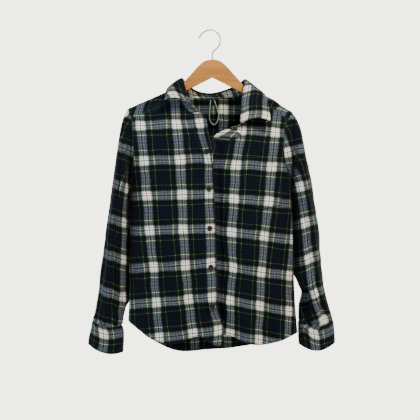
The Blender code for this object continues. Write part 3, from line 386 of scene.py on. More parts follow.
def flannel(name, stitches):
    """The plaid, read from a piece's own grain, with rows of stitches along its edges."""
    look, shader, strand = finish(name, Sheen_Weight=0.026, Sheen_Roughness=0.40,
                                  Sheen_Tint=(0.84, 0.84, 0.88, 1.0), Specular_IOR_Level=0.06)
    grain = strand.node("UVMap", {"uv_map": "cloth"})
    edge = strand.node("Attribute", {"attribute_name": "edge"}, out=2)
    waver = grain.grain(34.0, 3.0, 0.6)
    sway = grain.grain(1.7, 2.0, 0.5)
    stops = [(2 * at, tuple(part ** 0.5 ** SQUARINGS for part in colour))
             for begin, end, colour in STRIPES for at in sorted({begin, end})]
    yarns = []
    ways = []
    for way in (0, 1):
        place = grain.node("SeparateXYZ", {}, {"Vector": grain}, out=way)
        ways.append(place)
        swung = place + (waver - 0.5) * WAVER + (sway - 0.5) * BOW[way]
        away = (swung + 0.5).math("FRACT", swung + 0.5) - 0.5
        away = away.math("ABSOLUTE", away)
        yarns.append(away.node("ValToRGB", {"stops": stops}, {"Fac": away * 2.0}))
    diagonal = ways[0] + ways[1]
    twill = diagonal.math("SINE", diagonal * (2 * math.pi * REPEAT / TWILL))
    nap = grain.grain(95.0, 4.0, 0.72)
    fuzz = grain.stretched(1.0, 2.6, 1.0).grain(260.0, 3.0, 0.6)
    colour = (twill * 0.10 + 0.5 + (nap - 0.5) * 0.22).mix(*yarns)
    for _ in range(SQUARINGS):
        colour = colour.node("VectorMath", {"operation": "MULTIPLY"}, {0: colour, 1: colour})
    worn = grain.grain(2.2, 3.0, 0.55)
    bright = 0.72 + worn * 0.16 + nap * 0.34 + fuzz * 0.14
    colour = colour.node("VectorMath", {"operation": "SCALE"}, {0: colour, "Scale": bright})
    dashes = diagonal.math("SINE", diagonal * (2 * math.pi * REPEAT / STITCH)).rise(-0.5, 0.0)
    sewn = 0.0
    for row in stitches:
        off = edge.math("ABSOLUTE", edge - row)
        sewn = sewn + (1.0 - off.rise(0.0002, 0.0007)) * dashes
    rubbed = (1.0 - edge.rise(0.0, 0.0020)) * 0.05
    colour = rubbed.mix(colour, (0.12, 0.13, 0.14, 1.0))
    colour = (sewn * 0.55).mix(colour, (0.02, 0.03, 0.045, 1.0))
    pucker = grain.grain(15.0, 2.0, 0.5) * (1.0 - edge.rise(0.002, 0.016))
    folded = 1.0 - edge.rise(stitches[-1] + 0.0004, stitches[-1] + 0.0018)
    height = nap * 0.22 + fuzz * 0.16 + twill * 0.03 + pucker * 1.1 + folded * 0.5 - sewn * 0.35
    dress(shader, Base_Color=colour, Roughness=0.80 + nap * 0.16, bump=height, depth=0.001)
    return look


felled = flannel("plaid_flannel", (0.0018, 0.0070))


def finer(points, down, across):
    """A grid made finer down its columns and across its rows."""
    return curve_through(curve_through(points, down).swapaxes(0, 1), across).swapaxes(0, 1)


def unit(vectors):
    """Each vector at length 1."""
    return vectors / np.maximum(np.linalg.norm(vectors, axis=-1, keepdims=True), 1e-12)


def ease(t):
    """0 below 0, 1 above 1, smooth between."""
    t = np.clip(t, 0.0, 1.0)
    return t * t * (3 - 2 * t)


def run_length(points, axis=1):
    """How far each point of a grid lies along its row, or down its column where axis is 0."""
    steps = np.diff(points, axis=axis, prepend=points.take([0], axis=axis))
    return np.cumsum(np.linalg.norm(steps, axis=-1), axis=axis)


def edge_distance(points, sides):
    """Distance of each point to the nearest of the named edges of its grid."""
    across = run_length(points)
    down = run_length(points, axis=0)
    reach = {"left": across, "right": across[:, -1:] - across, "top": down, "bottom": down[-1:] - down}
    return np.minimum.reduce([reach[side] for side in sides.split()] + [0 * across + 0.5])


def rumpled(places, seed, strength=1.0):
    """Soft uneven creases of worn flannel: a height at each place of the cloth.

    Broad swells and narrower ridges, both bent by warp, come and go from place to place, with a
    fine pucker over all. Each is so many metres long across and down the cloth.
    """
    flat = places.reshape(-1, 2) * REPEAT
    heights = []
    for u, v in flat:
        warp = noise.noise(Vector((u / 0.060, v / 0.080, seed + 7.3)))
        soft = noise.noise(Vector((u / 0.040 + warp * 0.6, v / 0.105, seed)))
        ridge = 0.35 - abs(noise.noise(Vector((u / 0.030 + warp, v / 0.046 - warp * 0.8, seed + 3.1))))
        small = noise.noise(Vector((u / 0.011, v / 0.015, seed + 5.7)))
        where = 0.55 + 0.75 * noise.noise(Vector((u / 0.12, v / 0.14, seed + 11.0)))
        heights.append(0.0025 * soft + 0.0031 * ridge * where + 0.0005 * small)
    return np.array(heights).reshape(places.shape[:2]) * strength


def normals(points):
    """The normal of a grid at each point, square to its rows and columns."""
    return unit(np.cross(np.gradient(points, axis=1), np.gradient(points, axis=0)))


def raised(points, heights, side):
    """A grid of points moved along its normals; side is 1 or -1 for the way they point."""
    return points + normals(points) * (side * heights)[..., None]


ALL_EDGES = "left right top bottom"


def cloth(name, points, places, look, sewn, slot="flannel", wall=CLOTH, flip=False, tube=False):
    """A sheet of cloth through a grid of points with their places on the plaid, walled outwards.

    sewn names its stitched edges. A tube's long edges are joined, and flip turns the wall to the
    other side.
    """
    rows, columns = points.shape[:2]
    edge = edge_distance(points, sewn)
    bm = bmesh.new()
    bmesh.ops.create_grid(bm, x_segments=columns - 1, y_segments=rows - 1, size=1.0)
    grain = bm.loops.layers.uv.new("cloth")
    to_edge = bm.verts.layers.float.new("edge")
    for vert in bm.verts:
        column = round((vert.co.x + 1) / 2 * (columns - 1))
        row = round((vert.co.y + 1) / 2 * (rows - 1))
        vert.co = Vector(points[row, column])
        vert[to_edge] = edge[row, column]
        for loop in vert.link_loops:
            loop[grain].uv = places[row, column]
    if tube:
        bmesh.ops.remove_doubles(bm, verts=bm.verts, dist=1e-6)
    if flip:
        bmesh.ops.reverse_faces(bm, faces=bm.faces)
    made = add_piece("dressed_" + name, smooth_mesh(bm, name), look, slot, name)
    thickness = made.modifiers.new("wall", "SOLIDIFY")
    thickness.thickness = wall
    thickness.offset = 1.0
    return made


# ---------------------------------------------------------------- the back
# One piece of flannel from the yoke seam to a long curved hem, felled to the fronts at both
# sides. It hangs in broad soft folds.
SECTION_POWER = 2.6     # how square the body's sections are; 2 is an oval
CREST_RADIUS = 0.0110   # rounding over the hanger's arms
CHEST_DROP = 0.16       # from the shoulders down to the body's full depth
SWELL_POWER = 1.3
UNDERARM_Z = -0.392
BACK_SEAM_Z = -0.262
# The crest of the shoulders, which hangs over the hanger.
SHOULDER = table(
    "x z",
    (-0.2350, -0.2125), (-0.2100, -0.1992), (-0.1615, -0.1785), (-0.1165, -0.1582),
    (-0.0845, -0.1402), (-0.0550, -0.1240), (0.0035, -0.1140), (0.0620, -0.1245),
    (0.0945, -0.1440), (0.1235, -0.1580), (0.1385, -0.1655), (0.1590, -0.1778),
    (0.1775, -0.1925), (0.2055, -0.2075), (0.2350, -0.2260),
)
# The body's sections: how far each reaches to the viewer's left and right, front and back.
TORSO = table(
    "z left right front back",
    (-0.100, -0.222, 0.222, 0.046, 0.042),
    (-0.220, -0.222, 0.220, 0.052, 0.046),
    (-0.300, -0.206, 0.203, 0.059, 0.052),
    (-0.392, -0.2015, 0.1995, 0.064, 0.056),
    (-0.480, -0.2025, 0.2040, 0.065, 0.057),
    (-0.580, -0.2040, 0.2065, 0.063, 0.056),
    (-0.680, -0.2050, 0.2105, 0.060, 0.055),
    (-0.780, -0.2105, 0.2180, 0.058, 0.056),
    (-0.840, -0.2130, 0.2200, 0.057, 0.056),
)
# Soft folds that run down the cloth: side -1 is the front, minus a trough.
FOLDS = table(
    "side x_top z_top x_low z_low width height",
    (-1, -0.120, -0.300, -0.150, -0.900, 0.020, -0.0045),
    (-1, -0.075, -0.420, -0.110, -0.950, 0.024, 0.0060),
    (-1, -0.040, -0.480, -0.055, -0.950, 0.018, -0.0050),
    (-1, 0.021, -0.300, 0.028, -0.800, 0.0115, -0.0125),
    (-1, -0.013, -0.222, 0.009, -0.345, 0.011, 0.0120),
    (-1, 0.060, -0.500, 0.066, -0.950, 0.018, -0.0065),
    (-1, 0.075, -0.280, 0.100, -0.950, 0.022, 0.0060),
    (-1, 0.135, -0.420, 0.142, -0.950, 0.020, -0.0050),
    (-1, 0.150, -0.250, 0.178, -0.900, 0.018, 0.0040),
    (1, -0.120, -0.270, -0.130, -0.950, 0.028, 0.0060),
    (1, -0.062, -0.300, -0.070, -0.950, 0.024, -0.0060),
    (1, -0.010, -0.290, -0.015, -0.950, 0.026, 0.0065),
    (1, 0.050, -0.300, 0.052, -0.950, 0.024, -0.0055),
    (1, 0.110, -0.270, 0.125, -0.950, 0.028, 0.0060),
    (-1, -0.165, -0.330, -0.176, -0.850, 0.009, 0.0022),
    (-1, -0.140, -0.300, -0.142, -0.800, 0.007, -0.0016),
    (-1, 0.112, -0.300, 0.118, -0.860, 0.009, -0.0020),
    (-1, 0.176, -0.340, 0.196, -0.860, 0.008, 0.0026),
    (1, -0.160, -0.280, -0.178, -0.900, 0.014, -0.0035),
    (1, 0.158, -0.290, 0.176, -0.900, 0.014, -0.0035),
    (1, 0.024, -0.420, 0.020, -0.950, 0.012, 0.0026),
    (1, -0.092, -0.380, -0.100, -0.950, 0.012, -0.0022),
)
# Shorter creases, each from a to b, where the cloth is pulled or lies bunched.
CREASES = table(
    "side x_a z_a x_b z_b width height",
    (-1, 0.0100, -0.4180, 0.1000, -0.4430, 0.0060, 0.0024),
    (-1, 0.0120, -0.4040, 0.0600, -0.4200, 0.0050, -0.0018),
    (-1, -0.0240, -0.4050, -0.0700, -0.4160, 0.0060, 0.0016),
    (-1, 0.0140, -0.5010, 0.0560, -0.5140, 0.0060, 0.0016),
    (-1, -0.0230, -0.5020, -0.0640, -0.4960, 0.0070, -0.0015),
    (-1, 0.0160, -0.5950, 0.0620, -0.6180, 0.0070, 0.0020),
    (-1, -0.0220, -0.6000, -0.0700, -0.6130, 0.0070, 0.0016),
    (-1, 0.0060, -0.6790, 0.0420, -0.7150, 0.0080, -0.0040),
    (-1, 0.0330, -0.6650, 0.0600, -0.7550, 0.0110, 0.0046),
    (-1, -0.0120, -0.6780, -0.0360, -0.7500, 0.0080, 0.0030),
    (-1, -0.1900, -0.3550, -0.1480, -0.4650, 0.0110, 0.0036),
    (-1, -0.1960, -0.3950, -0.1660, -0.5400, 0.0100, -0.0036),
    (-1, 0.1920, -0.3600, 0.1480, -0.4850, 0.0110, 0.0036),
    (-1, 0.1950, -0.4050, 0.1700, -0.5900, 0.0100, -0.0042),
    (-1, -0.1550, -0.2250, -0.1440, -0.3250, 0.0090, 0.0026),
    (-1, -0.1250, -0.2200, -0.1180, -0.3100, 0.0080, -0.0020),
    (-1, 0.1480, -0.2250, 0.1430, -0.3150, 0.0090, 0.0026),
    (-1, 0.1150, -0.2350, 0.1120, -0.3300, 0.0080, -0.0022),
    (-1, -0.1700, -0.6900, -0.1780, -0.8100, 0.0110, 0.0042),
    (-1, -0.1000, -0.7050, -0.0980, -0.8100, 0.0120, -0.0042),
    (-1, 0.0850, -0.7050, 0.0900, -0.8100, 0.0120, 0.0050),
    (-1, 0.1500, -0.6950, 0.1580, -0.8100, 0.0110, -0.0042),
    (-1, -0.0450, -0.2450, -0.1050, -0.3450, 0.0110, 0.0022),
    (-1, -0.1250, -0.2080, -0.0400, -0.2340, 0.0170, -0.0090),
    (-1, 0.0650, -0.2850, 0.0200, -0.3600, 0.0100, 0.0030),
    (1, -0.1900, -0.3500, -0.1350, -0.5200, 0.0130, 0.0046),
    (1, 0.1880, -0.3500, 0.1340, -0.5200, 0.0130, 0.0046),
    (1, -0.1950, -0.4000, -0.1650, -0.6200, 0.0120, -0.0044),
    (1, 0.1950, -0.4000, 0.1650, -0.6300, 0.0120, -0.0044),
    (1, -0.1500, -0.2650, -0.0600, -0.3300, 0.0120, 0.0026),
    (1, 0.1500, -0.2650, 0.0700, -0.3250, 0.0120, 0.0026),
    (1, -0.1400, -0.7300, -0.1460, -0.8300, 0.0140, 0.0050),
    (1, -0.0300, -0.7300, -0.0300, -0.8300, 0.0140, -0.0045),
    (1, 0.0700, -0.7300, 0.0760, -0.8300, 0.0140, 0.0050),
    (1, 0.1420, -0.7200, 0.1500, -0.8300, 0.0130, -0.0045),
)
# The buttoned edge of the right front, which twists and stands out near its foot.
PLACKET_SPAN = (-0.8, -0.215)
PLACKET = table(
    "z left right bulge",
    (-0.2150, -0.0450, -0.0215, 0.000), (-0.2300, -0.0420, -0.0108, 0.000),
    (-0.2500, -0.0388, -0.0095, 0.000), (-0.2700, -0.0323, -0.0043, 0.000),
    (-0.2900, -0.0258, -0.0008, 0.000), (-0.3100, -0.0205, 0.0030, 0.001),
    (-0.4000, -0.0180, 0.0065, 0.000), (-0.5000, -0.0163, 0.0100, 0.001),
    (-0.6000, -0.0135, 0.0125, 0.002), (-0.6500, -0.0115, 0.0133, 0.006),
    (-0.6850, -0.0060, 0.0095, 0.004), (-0.7100, -0.0040, 0.0180, -0.004),
    (-0.7400, 0.0030, 0.0300, -0.001), (-0.7750, 0.0028, 0.0285, 0.003),
    (-0.8000, 0.0020, 0.0265, 0.004),
)


def shoulder_z(x):
    """How high the shoulders' crest lies."""
    return read(SHOULDER, "x", "z", x)


def rows_with(rows, key, value):
    """The rows of a table with this value in their key column, by its columns' names."""
    for at in np.flatnonzero(rows[key] == value):
        yield {name: column[at] for name, column in rows.items()}


def fold_height(x, z, side):
    """Sum of the folds and creases of one side of the body; each fades in and out along its way."""
    total = np.zeros(np.broadcast(x, z).shape)
    for fold in rows_with(FOLDS, "side", side):
        t = (fold["z_top"] - z) / (fold["z_top"] - fold["z_low"])
        centre = fold["x_top"] + t * (fold["x_low"] - fold["x_top"])
        fade = ease(t / 0.35) * ease((1.05 - t) / 0.2)
        total = total + fold["height"] * fade * np.exp(-(((x - centre) / fold["width"]) ** 2))
    for crease in rows_with(CREASES, "side", side):
        along = np.array([crease["x_b"] - crease["x_a"], crease["z_b"] - crease["z_a"]])
        length = np.linalg.norm(along)
        along = along / length
        run = (x - crease["x_a"]) * along[0] + (z - crease["z_a"]) * along[1]
        off = (x - crease["x_a"]) * along[1] - (z - crease["z_a"]) * along[0]
        fade = ease(run / length / 0.3 + 0.15) * ease((1.1 - run / length) / 0.35)
        total = total + crease["height"] * fade * np.exp(-((off / crease["width"]) ** 2))
    return total


def body_point(x, z, side, folded=True):
    """A point of the body's inner surface; side is -1 on the front and 1 on the back."""
    x = np.asarray(x, float)
    z = np.asarray(z, float)
    left = read(TORSO, "z", "left", z)
    right = read(TORSO, "z", "right", z)
    across = np.clip((2 * x - left - right) / (right - left), -1.0, 1.0)
    round_off = (1 - np.abs(across) ** SECTION_POWER) ** (1 / SECTION_POWER)
    drop = np.maximum(shoulder_z(x) - z, 0.0)
    crest = np.sqrt(1 - (1 - np.minimum(drop / CREST_RADIUS, 1.0)) ** 2)
    swell = np.sin(math.pi / 2 * np.minimum(drop / CHEST_DROP, 1.0)) ** SWELL_POWER
    depth = read(TORSO, "z", "front" if side < 0 else "back", z)
    depth = CREST_RADIUS * crest + (depth - CREST_RADIUS) * swell
    if folded:
        depth = depth + fold_height(x, z, side) * swell
    if side < 0:
        bulge = read(PLACKET, "z", "bulge", np.clip(z, *PLACKET_SPAN))
        depth = depth + bulge * np.exp(-(((x - 0.005) / 0.03) ** 2)) * (z < PLACKET_SPAN[1])
    return np.stack([x + 0 * z, side * depth * round_off, z + 0 * x], axis=-1)


# Levels of the rows down the sides, the long curved hem and the armholes' back halves.
SIDE_Z = [-0.428, -0.466, -0.505, -0.545, -0.583, -0.618, -0.648, -0.674, -0.696, -0.712, -0.722]
HEM_BACK = table(
    "x z",
    (-0.2120, -0.7270), (-0.1735, -0.7700), (-0.1363, -0.7960), (-0.1083, -0.8095),
    (0.0000, -0.8125), (0.0693, -0.8060), (0.1250, -0.7960), (0.1800, -0.7780),
    (0.2210, -0.7600),
)
BACK_ARMHOLE = table(
    "z right_x left_x",
    (BACK_SEAM_Z, -0.1935, 0.1900), (-0.2950, -0.1920, 0.1880), (-0.3250, -0.1930, 0.1895),
    (-0.3520, -0.1955, 0.1930), (-0.3760, -0.1990, 0.1965), (UNDERARM_Z, -0.2015, 0.1995),
)


def pairs(rows, x):
    """A column of a table and its z, row by row."""
    return np.stack([rows[x], rows["z"]], axis=-1)


def side_column(side_name):
    """x and z of a side seam, from the underarm to the hem, which is lower at the viewer's right."""
    left_hem_z, right_hem_z = HEM_BACK["z"][[0, -1]]
    z = np.append(SIDE_Z, left_hem_z)
    if side_name == "right":
        z = UNDERARM_Z + (z - UNDERARM_Z) * (right_hem_z - UNDERARM_Z) / (left_hem_z - UNDERARM_Z)
    return np.stack([read(TORSO, "z", side_name, z), z], axis=-1)


def back_panel(columns=19):
    """The back, from the yoke seam to the hem and from side seam to side seam."""
    left_edge = np.concatenate([pairs(BACK_ARMHOLE, "right_x"), side_column("left")])
    right_edge = np.concatenate([pairs(BACK_ARMHOLE, "left_x"), side_column("right")])
    first_side = len(BACK_ARMHOLE["z"]) - 1
    # The columns stand closer together at the sides, where the body turns.
    across = np.linspace(0, 1, columns)
    across = 0.35 * across + 0.65 * (1 - np.cos(across * math.pi)) / 2
    grid = []
    for row, (left, right) in enumerate(zip(left_edge, right_edge)):
        x = left[0] + (right[0] - left[0]) * across
        z = left[1] + (right[1] - left[1]) * across
        low = max(0.0, (row - first_side) / (len(left_edge) - 1 - first_side)) ** 1.5
        z = z + low * (read(HEM_BACK, "x", "z", x) - z)
        if row >= first_side:
            x[0] = read(TORSO, "z", "left", z[0])
            x[-1] = read(TORSO, "z", "right", z[-1])
        grid.append(body_point(x, z, 1, folded=False))
    return np.array(grid)


# Where the plaid's white stripes cross: down the rows, two crossings a and b a repeat apart.
BACK_CHECKS = table(
    "x_a z_a x_b z_b",
    (-0.0450, -0.1515, 0.0425, -0.1515), (-0.0450, -0.2395, 0.0425, -0.2395),
    (-0.0440, -0.4155, 0.0430, -0.4155), (-0.0430, -0.5915, 0.0440, -0.5915),
    (-0.0425, -0.7675, 0.0445, -0.7675),
)
BACK_ROWS = [0, 1, 3, 5, 7]


def on_grain(points, checks, counts=None):
    """Where each point lies on the plaid, in repeats, from the crossings of white stripes.

    counts says which stripe each row of crossings is, where it isn't simply the next one. Where
    the cloth turns back at the sides, its length round the body counts, not its width.
    """
    counts = np.array(range(len(checks["z_a"])) if counts is None else counts, float)
    x = points[..., 0].ravel()
    z = points[..., 2].ravel()
    share = np.clip((x[:, None] - checks["x_a"]) / (checks["x_b"] - checks["x_a"]), -1.2, 2.2)
    levels = checks["z_a"] + (checks["z_b"] - checks["z_a"]) * share
    row = np.clip((levels > z[:, None]).sum(axis=1) - 1, 0, len(counts) - 2)
    picked = np.arange(len(x))
    t = (levels[picked, row] - z) / (levels[picked, row] - levels[picked, row + 1])
    ends = [checks[name][row] + (checks[name][row + 1] - checks[name][row]) * t
            for name in ("x_a", "x_b")]
    u = ((x - ends[0]) / (ends[1] - ends[0])).reshape(points.shape[:2])
    v = (counts[row] + (counts[row + 1] - counts[row]) * t).reshape(points.shape[:2])
    longer = run_length(points[..., :2]) - run_length(points[..., :1])
    middle = np.argmin(np.abs(u.mean(axis=0) - 0.5))
    onward = np.sign(points[0, -1, 0] - points[0, 0, 0])
    return np.stack([u + onward * (longer - longer[:, middle:middle + 1]) / REPEAT, v], axis=-1)


back = back_panel()
fine_back = finer(back, 7, 7)
fine_back = body_point(fine_back[..., 0], fine_back[..., 2], 1)
back_places = on_grain(fine_back, BACK_CHECKS, BACK_ROWS)
calm = ease(edge_distance(fine_back, "left right top") / 0.030)
fine_back = raised(fine_back, rumpled(back_places, seed=2.0) * calm, 1)
piece = cloth("back", fine_back, back_places, felled, ALL_EDGES)

# ---------------------------------------------------------------- the two fronts
# Cut from one length of plaid and felled to yoke, armholes and sides. The right front buttons
# over the left one, and its cloth is pulled in soft creases from the buttons.

# Stations round the neck, from the right front's foot (0) over the back (7) to the left front's
# (14): the seam's x and its drop from the crest (minus behind it), the line on which the collar
# folds, the leaf's edge, and how far the leaf arches.
NECK = table(
    "station x drop fold_x fold_y fold_z edge_x edge_y edge_z arch",
    (0, -0.0225, 0.0973, -0.0300, -0.0480, -0.2075, -0.100, -0.040, -0.205, 0.006),
    (1, -0.0455, 0.0920, -0.0520, -0.0490, -0.1850, -0.1140, -0.0500, -0.1800, 0.009),
    (2, -0.0625, 0.0730, -0.0580, -0.0400, -0.1690, -0.1135, -0.0420, -0.1680, 0.008),
    (3, -0.0760, 0.0450, -0.0640, -0.0260, -0.1470, -0.1120, -0.0280, -0.1545, 0.006),
    (4, -0.0845, 0.0000, -0.0700, -0.0030, -0.1235, -0.1090, 0.0020, -0.1480, 0.004),
    (5, -0.0760, -0.0260, -0.0590, 0.0240, -0.1345, -0.0950, 0.0300, -0.1660, 0.003),
    (6, -0.0440, -0.0480, -0.0320, 0.0360, -0.1500, -0.0560, 0.0415, -0.1950, 0.003),
    (7, 0.0035, -0.0550, 0.0035, 0.0390, -0.1540, 0.0035, 0.0440, -0.2030, 0.003),
    (8, 0.0510, -0.0470, 0.0390, 0.0360, -0.1450, 0.0630, 0.0415, -0.1920, 0.003),
    (9, 0.0860, -0.0260, 0.0680, 0.0250, -0.1345, 0.1080, 0.0300, -0.1700, 0.003),
    (10, 0.0945, 0.0000, 0.0830, -0.0020, -0.1260, 0.1300, 0.0030, -0.1555, 0.002),
    (11, 0.0930, 0.0450, 0.0800, -0.0300, -0.1560, 0.1400, -0.0340, -0.1790, 0.003),
    (12, 0.0880, 0.0780, 0.0745, -0.0480, -0.1900, 0.1440, -0.0480, -0.2065, 0.004),
    (13, 0.0760, 0.1100, 0.0720, -0.0660, -0.2370, 0.1465, -0.0620, -0.2335, 0.008),
    (14, 0.0470, 0.1320, 0.0510, -0.0600, -0.2450, 0.120, -0.055, -0.250, 0.006),
)
# The stations of each front's neckline, from the yoke forward.
RIGHT_NECK = [3.4, 2.8, 2.2, 1.6, 1.0, 0.5, 0.0]
LEFT_NECK = [10.6, 11.2, 11.8, 12.4, 13.0, 13.5, 14.0]
# The armholes' front halves, the fronts' inner edges and their hems.
ARMHOLE = table(
    "z right_x left_x",
    (-0.2235, -0.2003, 0.1955), (-0.2500, -0.1970, 0.1850), (-0.2780, -0.1950, 0.1830),
    (-0.3050, -0.1935, 0.1825), (-0.3300, -0.1940, 0.1850), (-0.3530, -0.1960, 0.1895),
    (-0.3740, -0.1990, 0.1950), (UNDERARM_Z, -0.2015, 0.1995),
)
RIGHT_EDGE = table(
    "x z",
    (-0.0108, -0.2320), (-0.0065, -0.2620), (0.0030, -0.3100), (0.0052, -0.3620),
    (0.0072, -0.4200), (0.0096, -0.4850), (0.0113, -0.5500), (0.0127, -0.6100),
    (0.0133, -0.6550), (0.0100, -0.6880), (0.0200, -0.7150), (0.0300, -0.7420),
    (0.0265, -0.7900),
)
LEFT_EDGE = table(
    "x z",
    (0.0300, -0.2575), (0.0110, -0.2680), (-0.0020, -0.2900), (-0.0130, -0.3620),
    (-0.0145, -0.4200), (-0.0140, -0.4850), (-0.0120, -0.5500), (-0.0100, -0.6100),
    (-0.0090, -0.6550), (-0.0100, -0.6880), (-0.0080, -0.7150), (-0.0040, -0.7420),
    (-0.0050, -0.7650),
)
HEM_RIGHT = table(
    "x z",
    (-0.2120, -0.7270), (-0.1735, -0.7560), (-0.1455, -0.7760), (-0.1225, -0.7815),
    (-0.0950, -0.7885), (-0.0725, -0.7798), (-0.0475, -0.7715), (-0.0120, -0.7720),
    (0.0020, -0.7860), (0.0150, -0.7905), (0.0290, -0.7900),
)
HEM_LEFT = table(
    "x z",
    (-0.0200, -0.7650), (0.0150, -0.7680), (0.0410, -0.7640), (0.0785, -0.7800),
    (0.1110, -0.7890), (0.1438, -0.7870), (0.1765, -0.7790), (0.2210, -0.7600),
)
# The white stripes' crossings on each front, as on the back.
RIGHT_CHECKS = table(
    "x_a z_a x_b z_b",
    (-0.1850, -0.1530, -0.0940, -0.1520), (-0.1763, -0.2420, -0.0850, -0.2400),
    (-0.1675, -0.3310, -0.0758, -0.3285), (-0.1605, -0.4185, -0.0713, -0.4160),
    (-0.1538, -0.5035, -0.0690, -0.5010), (-0.1450, -0.5967, -0.0625, -0.5900),
    (-0.1383, -0.6835, -0.0555, -0.6750), (-0.1293, -0.7710, -0.0440, -0.7600),
    (-0.1220, -0.8590, -0.0340, -0.8470),
)
LEFT_CHECKS = table(
    "x_a z_a x_b z_b",
    (0.0850, -0.1680, 0.1700, -0.1720), (0.0760, -0.2553, 0.1610, -0.2597),
    (0.0618, -0.3423, 0.1508, -0.3472), (0.0563, -0.4260, 0.1433, -0.4335),
    (0.0515, -0.5075, 0.1340, -0.5185), (0.0540, -0.5967, 0.1275, -0.6080),
    (0.0460, -0.6773, 0.1230, -0.6927), (0.0440, -0.7600, 0.1208, -0.7755),
    (0.0430, -0.8450, 0.1190, -0.8600),
)
UNDERARM_ROW = 7        # the row of a front that ends at the underarm
FRONT_COLUMNS = 12
NECK_BAND = 0.0195      # width of the placket's columns beside the neck
STAND_BAND = 0.024      # width of the button stand's columns
UNDER_DEPTH = 0.0098    # how far the left front lies behind the right one


def neck_seam(stations):
    """Points of the neckline at the given stations, on the body's surface."""
    x = read(NECK, "station", "x", stations)
    drop = read(NECK, "station", "drop", stations)
    z = shoulder_z(x) - np.abs(drop)
    front = body_point(x, z, -1, folded=False)
    rear = body_point(x, z, 1, folded=False)
    return np.where((drop > 0)[:, None], front, rear)


def front_panel(neck, edge, widths, hem, outer_x, side_name):
    """A front from its inner edge out to armhole and side, row by row, with a shaped hem."""
    inner = np.concatenate([neck_seam(neck)[:, [0, 2]], pairs(edge, "x")])
    inner[-1, 1] = read(hem, "x", "z", inner[-1, 0])
    outer = np.concatenate([pairs(ARMHOLE, outer_x), side_column(side_name)])
    # Beyond the band's columns, the others stand closer together towards the side.
    spread = np.sin(np.linspace(0, 1, FRONT_COLUMNS) * math.pi / 2 * 0.94)
    spread = spread / spread[-1]
    rows = len(inner)
    grid = []
    for row in range(rows):
        band = widths[row] / abs(outer[row, 0] - inner[row, 0])
        across = np.concatenate([[0.0, band / 2], band + (1 - band) * spread])
        x = inner[row, 0] + (outer[row, 0] - inner[row, 0]) * across
        z = inner[row, 1] + (outer[row, 1] - inner[row, 1]) * across
        # The upper rows follow the shoulder's slope, the lower ones the hem's curve.
        ends = shoulder_z(np.array([inner[row, 0], outer[row, 0]]))
        follow = 1 - ease(row / UNDERARM_ROW)
        z = z + follow * (shoulder_z(x) - ends[0] - (ends[1] - ends[0]) * across)
        low = max(0.0, (row - UNDERARM_ROW) / (rows - 1 - UNDERARM_ROW)) ** 1.5
        z = z + low * (read(hem, "x", "z", x) - inner[-1, 1] - (outer[-1, 1] - inner[-1, 1]) * across)
        if row >= UNDERARM_ROW:
            x[-1] = read(TORSO, "z", side_name, z[-1])
        grid.append(body_point(x, z, -1, folded=False))
    return np.array(grid)


def under_front(points):
    """Moves the left front's points in, where it lies under the right front."""
    points = points.copy()
    edge = read(PLACKET, "z", "right", np.clip(points[..., 2], *PLACKET_SPAN))
    points[..., 1] += UNDER_DEPTH * ease((edge + 0.034 - points[..., 0]) / 0.028)
    return points


placket_width = np.append(np.full(len(RIGHT_NECK), NECK_BAND),
                          RIGHT_EDGE["x"] - read(PLACKET, "z", "left", RIGHT_EDGE["z"]))
stand_width = np.full(len(LEFT_NECK) + len(LEFT_EDGE["z"]), STAND_BAND)
# The right front hangs at the viewer's left.
front_right = front_panel(RIGHT_NECK, RIGHT_EDGE, placket_width, HEM_RIGHT, "right_x", "left")
front_left = front_panel(LEFT_NECK, LEFT_EDGE, stand_width, HEM_LEFT, "left_x", "right")


def sewn_front(name, panel, checks, seed, side):
    """A fine front with its creases, on the plaid's grain; they grow towards the hem."""
    fine = finer(panel, 8, 8)
    fine = body_point(fine[..., 0], fine[..., 2], -1)
    if side > 0:
        fine = under_front(fine)
    places = on_grain(fine, checks)
    calm = ease(edge_distance(fine, "right top") / 0.028)
    calm = calm * ease((edge_distance(fine, "left") - 0.028) / 0.030)
    low = ease((-0.60 - fine[..., 2]) / 0.15)
    fine = raised(fine, rumpled(places, seed) * calm * (1 + 0.5 * low), side)
    piece = cloth(name, fine, places, felled, "right top bottom", flip=side > 0)
    return fine, places


sewn_front("front_right", front_right, RIGHT_CHECKS, seed=4.0, side=-1)
fine_left, left_places = sewn_front("front_left", front_left, LEFT_CHECKS, seed=9.0, side=1)

# ---------------------------------------------------------------- the yoke
# Lies over both shoulders: felled to the back, to the fronts a little way down in front, and
# gathered into the neckline.

# The stations of its neckline.
YOKE_NECK = [3.4, 3.7, 3.85, 4.0, 4.15, 4.35, 4.7, 5.2, 5.8, 6.4, 7.0, 7.6, 8.2, 8.8, 9.3, 9.65,
             9.85, 10.0, 10.15, 10.3, 10.6]
# Its ends at the armholes, from the back's seam over the crest to the front's.
YOKE_SIDE = table(
    "drop right_x left_x",
    (-0.0720, -0.1935, 0.1900), (-0.0450, -0.1975, 0.1940), (-0.0200, -0.2040, 0.2000),
    (0.0000, -0.2085, 0.2035), (0.0140, -0.2050, 0.2000), (0.0280, -0.2003, 0.1955),
)
NECK_SPREAD = 0.132     # how far the columns from the neckline spread at the back seam


